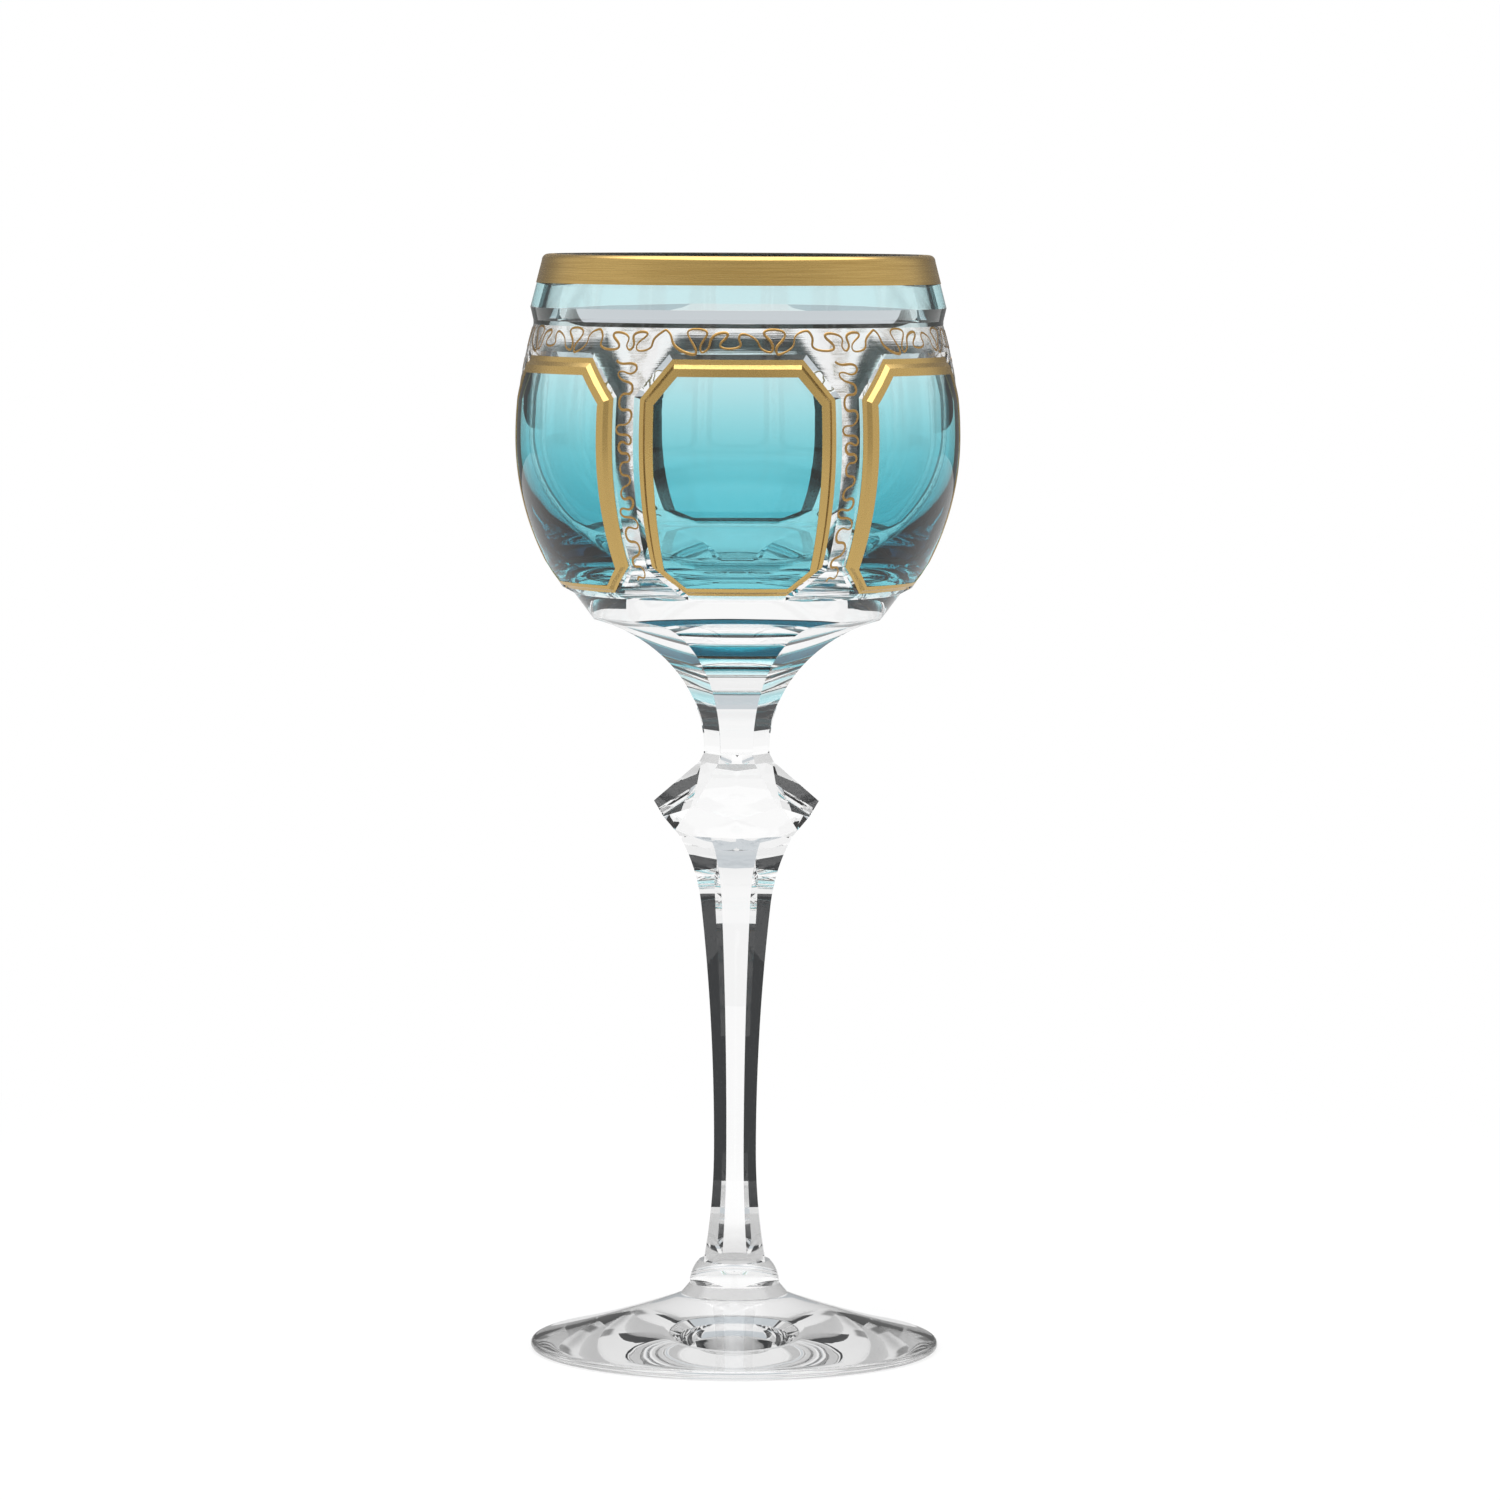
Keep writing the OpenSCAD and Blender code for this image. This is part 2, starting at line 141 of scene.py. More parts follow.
class Bench:
    """Hand tools that the pieces share. Each acts on the piece that is being worked on."""

    @staticmethod
    def clear() -> None:
        """Leaves edit mode and deselects everything."""
        if bpy.context.object is not None and bpy.context.object.mode != "OBJECT":
            bpy.ops.object.mode_set(mode="OBJECT")
        bpy.ops.object.select_all(action="DESELECT")

    @staticmethod
    def begin(name: str) -> bpy.types.Object:
        """Names the new primitive that is active and opens it in edit mode.

        Args:
            name: Name of the piece.

        Returns:
            The piece.
        """
        piece = bpy.context.object
        piece.name = piece.data.name = name
        bpy.ops.object.mode_set(mode="EDIT")
        return piece

    @staticmethod
    def pick(piece: bpy.types.Object, test: FaceTest) -> int:
        """Selects faces by their place and normal.

        Args:
            piece: Piece in edit mode.
            test: Says of a face's middle and normal if it is picked.

        Returns:
            How many faces were picked.
        """
        bpy.ops.mesh.select_mode(type="FACE")
        bpy.ops.mesh.select_all(action="DESELECT")
        mesh = bmesh.from_edit_mesh(piece.data)
        mesh.normal_update()
        picked = 0
        for face in mesh.faces:
            if test(face.calc_center_median(), face.normal):
                face.select_set(True)
                picked += 1
        bmesh.update_edit_mesh(piece.data)
        return picked

    @staticmethod
    def pick_rim(piece: bpy.types.Object, test: Callable[[Vector], bool]) -> None:
        """Selects open edges by their place.

        Args:
            piece: Piece in edit mode.
            test: Says of an edge's middle if it is picked.
        """
        bpy.ops.mesh.select_mode(type="EDGE")
        bpy.ops.mesh.select_all(action="DESELECT")
        mesh = bmesh.from_edit_mesh(piece.data)
        for edge in mesh.edges:
            if edge.is_boundary and test((edge.verts[0].co + edge.verts[1].co) / 2):
                edge.select_set(True)
        bmesh.update_edit_mesh(piece.data)

    @staticmethod
    def place(piece: bpy.types.Object, move: Callable[[Vector], Vector]) -> None:
        """Moves every vertex of a piece.

        Args:
            piece: Piece in edit mode.
            move: Says where a vertex goes.
        """
        mesh = bmesh.from_edit_mesh(piece.data)
        for vertex in mesh.verts:
            vertex.co = move(vertex.co)
        bmesh.update_edit_mesh(piece.data)

    @staticmethod
    def draw_out(rise: float, grown: float, height: float, edges: bool = False) -> None:
        """Extrudes what is picked along the axis and widens it.

        Args:
            rise: How far it goes up.
            grown: How many times as wide it gets.
            height: Height that it ends at.
            edges: True where edges are picked, and not faces.
        """
        extrude = bpy.ops.mesh.extrude_edges_move if edges else bpy.ops.mesh.extrude_region_move
        extrude(TRANSFORM_OT_translate={"value": (0, 0, rise)})
        bpy.ops.transform.resize(value=(grown, grown, 1), center_override=(0, 0, height))

    @staticmethod
    def go_round() -> None:
        """Repeats the whole piece in edit mode in the other five sectors of the glass."""
        bpy.ops.mesh.select_all(action="SELECT")
        bpy.ops.mesh.spin(
            steps=SIDES - 1, dupli=True, angle=TAU - SECTOR, center=(0, 0, 0), axis=(0, 0, 1)
        )

    @staticmethod
    def close(piece: bpy.types.Object) -> None:
        """Merges doubles and turns all faces outwards.

        Args:
            piece: Piece in edit mode.
        """
        bpy.ops.mesh.select_mode(type="VERT")
        bpy.ops.mesh.select_all(action="SELECT")
        bpy.ops.mesh.remove_doubles(threshold=WELD)
        bpy.ops.mesh.dissolve_degenerate(threshold=1e-7)
        bpy.ops.mesh.select_all(action="SELECT")
        bpy.ops.mesh.normals_make_consistent(inside=False)
        if bmesh.from_edit_mesh(piece.data).calc_volume(signed=True) < 0:
            bpy.ops.mesh.flip_normals()

    @staticmethod
    def finish(piece: bpy.types.Object, angle: float) -> bpy.types.Object:
        """Leaves edit mode and shades the piece smooth.

        Args:
            piece: Piece in edit mode.
            angle: Largest angle that is smoothed over, in degrees.

        Returns:
            The same piece.
        """
        bpy.ops.object.mode_set(mode="OBJECT")
        bpy.ops.object.select_all(action="DESELECT")
        piece.select_set(True)
        bpy.context.view_layer.objects.active = piece
        bpy.ops.object.shade_smooth_by_angle(angle=math.radians(angle))
        piece.select_set(False)
        return piece

    @staticmethod
    def turn(name: str, outline: Sequence[Point], steps: int) -> bpy.types.Object:
        """Turns a round piece from its half outline, as on a lathe.

        Args:
            name: Name of the piece.
            outline: Distances from the axis and heights, in order.
            steps: Steps in the full turn.

        Returns:
            The piece, closed and left in edit mode.
        """
        Bench.clear()
        bpy.ops.mesh.primitive_plane_add(size=MM, location=(0, 0, 0))
        piece = Bench.begin(name)
        bpy.ops.mesh.merge(type="CENTER")
        bpy.ops.transform.translate(value=(outline[0][0], 0, outline[0][1]))
        for (r0, z0), (r1, z1) in zip(outline, outline[1:]):
            bpy.ops.mesh.extrude_vertices_move(TRANSFORM_OT_translate={"value": (r1 - r0, 0, z1 - z0)})
        bpy.ops.mesh.select_all(action="SELECT")
        bpy.ops.mesh.spin(steps=steps, angle=TAU, center=(0, 0, 0), axis=(0, 0, 1))
        Bench.close(piece)
        return piece

    @staticmethod
    def column(name: str, sections: Sequence[Point], turned: float) -> bpy.types.Object:
        """Draws up a six-sided column through its sections.

        Args:
            name: Name of the piece.
            sections: Distances of the flat sides from the axis, and heights, from below.
            turned: Azimuth of one of its edges, in radians.

        Returns:
            The piece, left in edit mode with its top face picked.
        """
        Bench.clear()
        bpy.ops.mesh.primitive_circle_add(vertices=SIDES, radius=1.0, fill_type="NGON")
        piece = Bench.begin(name)
        flat, low = sections[0]
        reach = flat / math.cos(SECTOR / 2)
        mesh = bmesh.from_edit_mesh(piece.data)
        mesh.verts.ensure_lookup_table()
        first = math.atan2(mesh.verts[0].co.y, mesh.verts[0].co.x)
        for vertex in mesh.verts:
            angle = math.atan2(vertex.co.y, vertex.co.x) - first + turned
            vertex.co = (reach * math.cos(angle), reach * math.sin(angle), low)
        bmesh.update_edit_mesh(piece.data)
        for (a0, z0), (a1, z1) in zip(sections, sections[1:]):
            Bench.draw_out(z1 - z0, a1 / a0, z1)
        return piece

    @staticmethod
    def copy_round(piece: bpy.types.Object, name: str, angle: float) -> bpy.types.Object:
        """Copies a finished piece, with a mesh of its own, and turns the copy round the axis.

        Args:
            piece: Piece to copy, at the origin.
            name: Name of the copy.
            angle: Turn in radians.

        Returns:
            The copy, at the origin and unturned, with its place in its mesh.
        """
        Bench.clear()
        piece.select_set(True)
        bpy.context.view_layer.objects.active = piece
        bpy.ops.object.duplicate(linked=False)
        made = bpy.context.object
        made.name = made.data.name = name
        made.rotation_euler = (0, 0, angle)
        bpy.ops.object.transform_apply(location=False, rotation=True, scale=False)
        made.select_set(False)
        return made


class Nodes:
    """Small wrapper that keeps material code short."""

    def __init__(self, tree: bpy.types.NodeTree) -> None:
        """Starts an empty tree."""
        self.tree = tree
        tree.nodes.clear()

    def add(self, kind: str, **values: object) -> bpy.types.Node:
        """Adds a node and sets its properties and plain inputs.

        Args:
            kind: Blender's name of the node type.
            values: Property names, or input names with underscores for spaces.

        Returns:
            The node.
        """
        node = self.tree.nodes.new(kind)
        for key, value in values.items():
            if hasattr(node, key):
                setattr(node, key, value)
            else:
                node.inputs[key.replace("_", " ")].default_value = value
        return node

    def link(self, source: bpy.types.NodeSocket, target: bpy.types.NodeSocket) -> None:
        """Joins an output to an input."""
        self.tree.links.new(source, target)

    def maths(self, operation: str, *sources: object) -> bpy.types.NodeSocket:
        """Adds a math node.

        Args:
            operation: Blender's name of the operation.
            sources: Its inputs in order, each a socket or a number.

        Returns:
            The node's output.
        """
        node = self.add("ShaderNodeMath", operation=operation)
        for i, source in enumerate(sources):
            if isinstance(source, (int, float)):
                node.inputs[i].default_value = float(source)
            else:
                self.link(source, node.inputs[i])
        return node.outputs[0]

    def ramp(
        self, source: bpy.types.NodeSocket, low: float, high: float, start: float, stop: float,
        smooth: bool = True,
    ) -> bpy.types.NodeSocket:
        """Adds a step between two values.

        Args:
            source: Value that the step follows.
            low: Where the step starts.
            high: Where it stops.
            start: What it puts out below.
            stop: What it puts out above.
            smooth: False for a straight step.

        Returns:
            The node's output.
        """
        kind = "SMOOTHSTEP" if smooth else "LINEAR"
        node = self.add("ShaderNodeMapRange", interpolation_type=kind)
        for name, value in (("From Min", low), ("From Max", high), ("To Min", start), ("To Max", stop)):
            node.inputs[name].default_value = value
        self.link(source, node.inputs["Value"])
        return node.outputs["Result"]

    def blend(self, factor: bpy.types.NodeSocket, low: Colour, high: Colour) -> bpy.types.NodeSocket:
        """Adds a blend of two colours.

        Args:
            factor: Share of the second colour.
            low: First colour.
            high: Second colour.

        Returns:
            The blend's colour.
        """
        node = self.add("ShaderNodeMix", data_type="RGBA")
        node.inputs[6].default_value, node.inputs[7].default_value = (*low, 1), (*high, 1)
        self.link(factor, node.inputs["Factor"])
        return node.outputs[2]

    def bump(
        self, height: bpy.types.NodeSocket, shader: bpy.types.Node, strength: float, distance: float
    ) -> None:
        """Bends a shader's normal by fine relief.

        Args:
            height: The relief.
            shader: Shader that gets it.
            strength: Its strength.
            distance: Its height in metres.
        """
        node = self.add("ShaderNodeBump", Strength=strength, Distance=distance)
        self.link(height, node.inputs["Height"])
        self.link(node.outputs["Normal"], shader.inputs["Normal"])

    def surface(self, shader: bpy.types.Node) -> bpy.types.Node:
        """Adds the material's output and joins a shader to it.

        Args:
            shader: Shader of the surface.

        Returns:
            The output node.
        """
        end = self.add("ShaderNodeOutputMaterial")
        self.link(shader.outputs[0], end.inputs["Surface"])
        return end


class Effects:
    """Node groups that several finishes share, each built once."""

    _made: Dict[str, bpy.types.NodeTree] = {}

    @classmethod
    def begin(cls, name: str, inputs: Dict[str, float], outputs: Sequence[str]) -> Nodes:
        """Starts a group whose sockets are all numbers.

        Args:
            name: Name of the group.
            inputs: Its inputs and what they are set to at first.
            outputs: Its outputs.

        Returns:
            The wrapper of the group's tree.
        """
        tree = bpy.data.node_groups.new(name, "ShaderNodeTree")
        for title, value in inputs.items():
            socket = tree.interface.new_socket(title, in_out="INPUT", socket_type="NodeSocketFloat")
            socket.default_value = value
        for title in outputs:
            tree.interface.new_socket(title, in_out="OUTPUT", socket_type="NodeSocketFloat")
        cls._made[name] = tree
        return Nodes(tree)

    @classmethod
    def streaks(cls) -> bpy.types.NodeTree:
        """Fine marks that run round the glass, as a wheel leaves them.

        Returns:
            A group with inputs Across and Along, and outputs Height and Mask.
        """
        name = "wheel_streaks"
        if name in cls._made:
            return cls._made[name]
        nodes = cls.begin(name, {"Across": 2600.0, "Along": 60.0}, ("Height", "Mask"))
        source, end = nodes.add("NodeGroupInput"), nodes.add("NodeGroupOutput")
        place, scale = nodes.add("ShaderNodeTexCoord"), nodes.add("ShaderNodeCombineXYZ")
        for axis, value in (("X", "Along"), ("Y", "Along"), ("Z", "Across")):
            nodes.link(source.outputs[value], scale.inputs[axis])
        stretch = nodes.add("ShaderNodeVectorMath", operation="MULTIPLY")
        nodes.link(place.outputs["Object"], stretch.inputs[0])
        nodes.link(scale.outputs[0], stretch.inputs[1])
        fine = nodes.add("ShaderNodeTexNoise", Scale=1.0, Detail=3.0, Roughness=0.6)
        broad = nodes.add("ShaderNodeTexNoise", Scale=0.12, Detail=2.0, Roughness=0.5)
        for noise in (fine, broad):
            nodes.link(stretch.outputs[0], noise.inputs["Vector"])
        height = nodes.maths("MULTIPLY_ADD", broad.outputs["Fac"], 0.6, fine.outputs["Fac"])
        nodes.link(height, end.inputs["Height"])
        nodes.link(fine.outputs["Fac"], end.inputs["Mask"])
        return nodes.tree

    @classmethod
    def polish(cls) -> bpy.types.NodeTree:
        """Slow waves and wiping marks of a hand-polished face.

        Returns:
            A group with input Scale, and outputs Height and Haze.
        """
        name = "hand_polish"
        if name in cls._made:
            return cls._made[name]
        nodes = cls.begin(name, {"Scale": 90.0}, ("Height", "Haze"))
        source, end = nodes.add("NodeGroupInput"), nodes.add("NodeGroupOutput")
        place = nodes.add("ShaderNodeTexCoord")
        wave = nodes.add("ShaderNodeTexNoise", Detail=1.0, Roughness=0.4)
        wipe = nodes.add("ShaderNodeTexNoise", Scale=220.0, Detail=4.0, Roughness=0.7)
        for noise in (wave, wipe):
            nodes.link(place.outputs["Object"], noise.inputs["Vector"])
        nodes.link(source.outputs["Scale"], wave.inputs["Scale"])
        haze = nodes.ramp(wipe.outputs["Fac"], 0.55, 0.8, 0.0, 0.02, smooth=False)
        nodes.link(wave.outputs["Fac"], end.inputs["Height"])
        nodes.link(haze, end.inputs["Haze"])
        return nodes.tree


def new_material(name: str) -> Tuple[bpy.types.Material, Nodes]:
    """Makes an empty node material.

    Args:
        name: Name of the finish.

    Returns:
        The material and the wrapper of its tree.
    """
    material = bpy.data.materials.new(name)
    material.use_nodes = True
    return material, Nodes(material.node_tree)


@dataclass(frozen=True)
class GlassFinish:
    """Clear or coloured glass with a hand polish."""

    name: str
    index: float = 1.54
    density: float = 0.0
    tint: Colour = (1.0, 1.0, 1.0)
    wave: float = 0.02
    fused: bool = False

    def make(self) -> bpy.types.Material:
        """Builds the material; a fused glass is open only where its face mark says so.

        Returns:
            The material.
        """
        material, nodes = new_material(self.name)
        shader = nodes.add(
            "ShaderNodeBsdfPrincipled", Base_Color=(1, 1, 1, 1), IOR=self.index, Transmission_Weight=1.0
        )
        marks = nodes.add("ShaderNodeGroup", node_tree=Effects.polish())
        nodes.bump(marks.outputs["Height"], shader, self.wave, MM)
        nodes.link(marks.outputs["Haze"], shader.inputs["Roughness"])
        end = nodes.surface(shader)
        if self.fused:
            mark = nodes.add("ShaderNodeAttribute", attribute_name="open_face")
            nodes.link(mark.outputs["Fac"], shader.inputs["Alpha"])
        if self.density:
            body = nodes.add("ShaderNodeVolumeAbsorption", Density=self.density, Color=(*self.tint, 1))
            nodes.link(body.outputs[0], end.inputs["Volume"])
        return material


@dataclass(frozen=True)
class GroundFinish:
    """Clear glass with the marks of the cutting wheel left on it."""

    name: str
    index: float = 1.54
    across: float = 3200.0
    along: float = 45.0
    strength: float = 0.5
    haze: float = 0.07

    def make(self) -> bpy.types.Material:
        """Builds the material.

        Returns:
            The material.
        """
        material, nodes = new_material(self.name)
        shader = nodes.add(
            "ShaderNodeBsdfPrincipled", Base_Color=(1, 1, 1, 1), IOR=self.index, Transmission_Weight=1.0
        )
        marks = nodes.add(
            "ShaderNodeGroup", node_tree=Effects.streaks(), Across=self.across, Along=self.along
        )
        nodes.bump(marks.outputs["Height"], shader, self.strength, 0.02 * MM)
        rough = nodes.maths("MULTIPLY", marks.outputs["Mask"], 2 * self.haze)
        nodes.link(rough, shader.inputs["Roughness"])
        nodes.surface(shader)
        return material


@dataclass(frozen=True)
class SeamFinish:
    """A face inside fused glass, which nothing shows."""

    name: str

    def make(self) -> bpy.types.Material:
        """Builds the material.

        Returns:
            The material.
        """
        material, nodes = new_material(self.name)
        nodes.surface(nodes.add("ShaderNodeBsdfTransparent"))
        return material


@dataclass(frozen=True)
class GoldFinish:
    """Fired gold with a satin sheen and fine marks."""

    name: str
    colour: Colour = (0.66, 0.45, 0.16)
    dark: Colour = (0.52, 0.34, 0.11)
    roughness: float = 0.27
    uneven: float = 0.06
    across: float = 5200.0
    along: float = 160.0
    strength: float = 0.25

    def make(self) -> bpy.types.Material:
        """Builds the material.

        Returns:
            The material.
        """
        material, nodes = new_material(self.name)
        shader = nodes.add("ShaderNodeBsdfPrincipled", Metallic=1.0)
        marks = nodes.add(
            "ShaderNodeGroup", node_tree=Effects.streaks(), Across=self.across, Along=self.along
        )
        mask = marks.outputs["Mask"]
        tone = nodes.blend(nodes.ramp(mask, 0.3, 0.6, 0.0, 1.0, smooth=False), self.dark, self.colour)
        rough = nodes.ramp(
            mask, 0.0, 1.0, self.roughness + self.uneven, self.roughness - self.uneven, smooth=False
        )
        nodes.link(tone, shader.inputs["Base Color"])
        nodes.link(rough, shader.inputs["Roughness"])
        nodes.bump(marks.outputs["Height"], shader, self.strength, 0.01 * MM)
        nodes.surface(shader)
        return material


@dataclass(frozen=True)
class BackedGoldFinish:
    """Underside of fired gold, seen through the glass that carries it."""

    name: str
    colour: Colour = (0.10, 0.075, 0.04)
    dark: Colour = (0.06, 0.045, 0.024)

    def make(self) -> bpy.types.Material:
        """Builds the material.

        Returns:
            The material.
        """
        material, nodes = new_material(self.name)
        shader = nodes.add("ShaderNodeBsdfPrincipled", Roughness=0.6)
        marks = nodes.add("ShaderNodeGroup", node_tree=Effects.streaks())
        nodes.link(nodes.blend(marks.outputs["Mask"], self.dark, self.colour), shader.inputs["Base Color"])
        nodes.surface(shader)
        return material


@dataclass
class Finishes:
    """All finishes of the glass, made once."""

    crystal: bpy.types.Material = field(init=False)
    ground: bpy.types.Material = field(init=False)
    seam: bpy.types.Material = field(init=False)
    aqua: bpy.types.Material = field(init=False)
    frame_gold: bpy.types.Material = field(init=False)
    rim_gold: bpy.types.Material = field(init=False)
    line_gold: bpy.types.Material = field(init=False)
    gold_back: bpy.types.Material = field(init=False)

    def __post_init__(self) -> None:
        """Builds the materials."""
        self.crystal = GlassFinish("cut_crystal").make()
        self.ground = GroundFinish("wheel_cut_crystal").make()
        self.seam = SeamFinish("fused_seam").make()
        self.aqua = GlassFinish(
            "aqua_casing", density=520.0, tint=(0.05, 0.735, 0.795), fused=True
        ).make()
        self.frame_gold = GoldFinish(
            "frame_gold", dark=(0.61, 0.415, 0.145), across=5200.0, along=5200.0, strength=0.04
        ).make()
        self.rim_gold = GoldFinish("rim_gold", across=4200.0, along=70.0, strength=0.4).make()
        self.line_gold = GoldFinish(
            "line_gold", colour=(0.50, 0.31, 0.11), dark=(0.36, 0.21, 0.07)
        ).make()
        self.gold_back = BackedGoldFinish("gold_underside").make()


def dress(
    piece: bpy.types.Object,
    slot: Slot,
    materials: Sequence[bpy.types.Material],
    choose: Optional[FaceChoice] = None,
    nodes: Sequence[str] = (),
) -> None:
    """Gives a finished piece its materials and its place in the part.

    Args:
        piece: Piece in object mode.
        slot: Slot of the record whose finish the piece matches; it is only named in the log.
        materials: Its materials.
        choose: Picks a material's number from a face's middle and normal.
        nodes: Nodes of the part that it stands for.
    """
    piece.data.materials.clear()
    for material in materials:
        piece.data.materials.append(material)
    for face in piece.data.polygons:
        face.material_index = choose(face.center, face.normal) if choose else 0
    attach(piece, "root")
    if nodes:
        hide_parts(*nodes)
    LOG.info("%s: %d faces, %s", piece.name, len(piece.data.polygons), slot.value)


def mark_open(piece: bpy.types.Object, is_open: FaceTest) -> None:
    """Marks which faces of a fused piece meet the air.

    Args:
        piece: Piece in object mode.
        is_open: Says of a face's middle and normal if it meets the air.
    """
    marks = piece.data.attributes.new("open_face", "FLOAT", "FACE")
    for face in piece.data.polygons:
        marks.data[face.index].value = 1.0 if is_open(face.center, face.normal) else 0.0


@dataclass
class Foot:
    """Round foot and the button that joins it to the stem. Sizes in metres."""

    radius: float = 38.2 * MM
    edge: float = 1.8 * MM
    sweep: float = 250.0 * MM
    skirt: float = 10.0 * MM
    skirt_height: float = 2.1 * MM
    skirt_round: float = 0.35 * MM
    bulge: float = 8.4 * MM
    stem_flat: float = 5.75 * MM
    steps: int = 144

    def outline(self) -> List[Point]:
        """Half outline of the foot.

        Returns:
            Its points, from the middle of the underside.
        """
        top = node_low("foot_button")
        half = self.edge / 2
        inner, outer = (self.skirt, top), (self.radius - half, self.edge)
        dx, dz = outer[0] - inner[0], outer[1] - inner[1]
        length = math.hypot(dx, dz)
        lift = math.sqrt(self.sweep**2 - (length / 2) ** 2)
        mid_r = (inner[0] + outer[0]) / 2 - dz / length * lift
        mid_z = (inner[1] + outer[1]) / 2 + dx / length * lift
        points = [(0.0, 0.0), (outer[0] * 0.5, 0.0), (outer[0], 0.0)]
        for turn in spread(-math.pi / 2, math.pi / 2, 12)[1:-1]:
            points.append((outer[0] + half * math.cos(turn), half + half * math.sin(turn)))
        for r in spread(outer[0], inner[0], 24):
            points.append((r, mid_z - math.sqrt(self.sweep**2 - (r - mid_r) ** 2)))
        return points + [(self.skirt * 0.5, top), (0.0, top)]

    def button_outline(self) -> List[Point]:
        """Half outline of the button.

        Returns:
            Its points, from the middle of the underside.
        """
        low, high = node_low("foot_button"), node_low("stem")
        skirt_top = low + self.skirt_height
        top = self.stem_flat / math.cos(SECTOR / 2)
        rise = high - skirt_top
        x = (self.bulge**2 - top**2 - rise**2) / (2 * (self.bulge - top))
        points = [(0.0, low), (self.skirt * 0.5, low)]
        for t in (-1.57, -0.8, 0.0):
            points.append((self.skirt - self.skirt_round * (1 - math.cos(t)) * 0.5,
                           low + self.skirt_round * (1 + math.sin(t)) * 0.6))
        return points + arc((x, skirt_top), self.bulge - x, skirt_top, high, 14) + [(0.0, high)]

    def build(self, finishes: Finishes) -> None:
        """Turns the foot and its button and dresses them.

        Args:
            finishes: Finishes of the glass.
        """
        top, stem = node_low("foot_button"), node_low("stem")
        foot = Bench.finish(Bench.turn("glass_foot", self.outline(), self.steps), 25)
        dress(foot, Slot.CRYSTAL, [finishes.crystal, finishes.seam],
              lambda c, n: Cut(c.z > top - 10 * TOUCH), ["foot"])
        button = Bench.turn("glass_button", self.button_outline(), self.steps)
        sides = [Vector((math.cos(i * SECTOR), math.sin(i * SECTOR), 0)) for i in range(SIDES)]
        for out in sides:
            Bench.pick(button, lambda c, n: c.z > stem - TOUCH)
            bpy.ops.mesh.bisect(plane_co=out * self.stem_flat, plane_no=out)
        Bench.finish(button, 25)

        def seam(c: Vector, n: Vector) -> Cut:
            """Fused where the foot or the stem is joined on."""
            under_stem = c.z > stem - TOUCH and max(out.dot(c) for out in sides) < self.stem_flat
            return Cut(c.z < top + TOUCH or under_stem)

        dress(button, Slot.CRYSTAL, [finishes.crystal, finishes.seam], seam, ["foot_button"])


@dataclass
class Stem:
    """Six-sided stem with an edge to the front. Sizes in metres."""

    waist: float = 3.93 * MM
    waist_up: float = 21.4 * MM
    low_sweep: float = 127.0 * MM
    sweep: float = 418.0 * MM
    flare_height: float = 13.0 * MM
    flare: float = 36.0 * MM
    steps: int = 64

    def flat_at(self, z: float) -> float:
        """Distance of the flat sides from the axis.

        Args:
            z: Height.

        Returns:
            The distance at that height.
        """
        z_waist, z_flare = node_low("stem") + self.waist_up, node_low("knop") - self.flare_height
        if z < z_waist:
            return self.waist + self.low_sweep - math.sqrt(self.low_sweep**2 - (z - z_waist) ** 2)
        if z < z_flare:
            return self.waist + self.sweep - math.sqrt(self.sweep**2 - (z - z_waist) ** 2)
        lean = math.asin((z_flare - z_waist) / self.sweep)
        x = self.waist + self.sweep * (1 - math.cos(lean)) + self.flare * math.cos(lean)
        mid = z_flare - self.flare * math.sin(lean)
        return x - math.sqrt(self.flare**2 - (z - mid) ** 2)

    def build(self, finishes: Finishes) -> None:
        """Draws up the stem and dresses it.

        Args:
            finishes: Finishes of the glass.
        """
        low, high = node_low("stem"), node_low("knop")
        sections = [(self.flat_at(z), z) for z in spread(low, high, self.steps)]
        piece = Bench.column("glass_stem", sections, -math.pi / 2)
        Bench.close(piece)
        Bench.finish(piece, 20)
        dress(piece, Slot.CRYSTAL, [finishes.crystal, finishes.seam],
              lambda c, n: Cut(c.z < low + TOUCH or c.z > high - TOUCH), ["stem"])


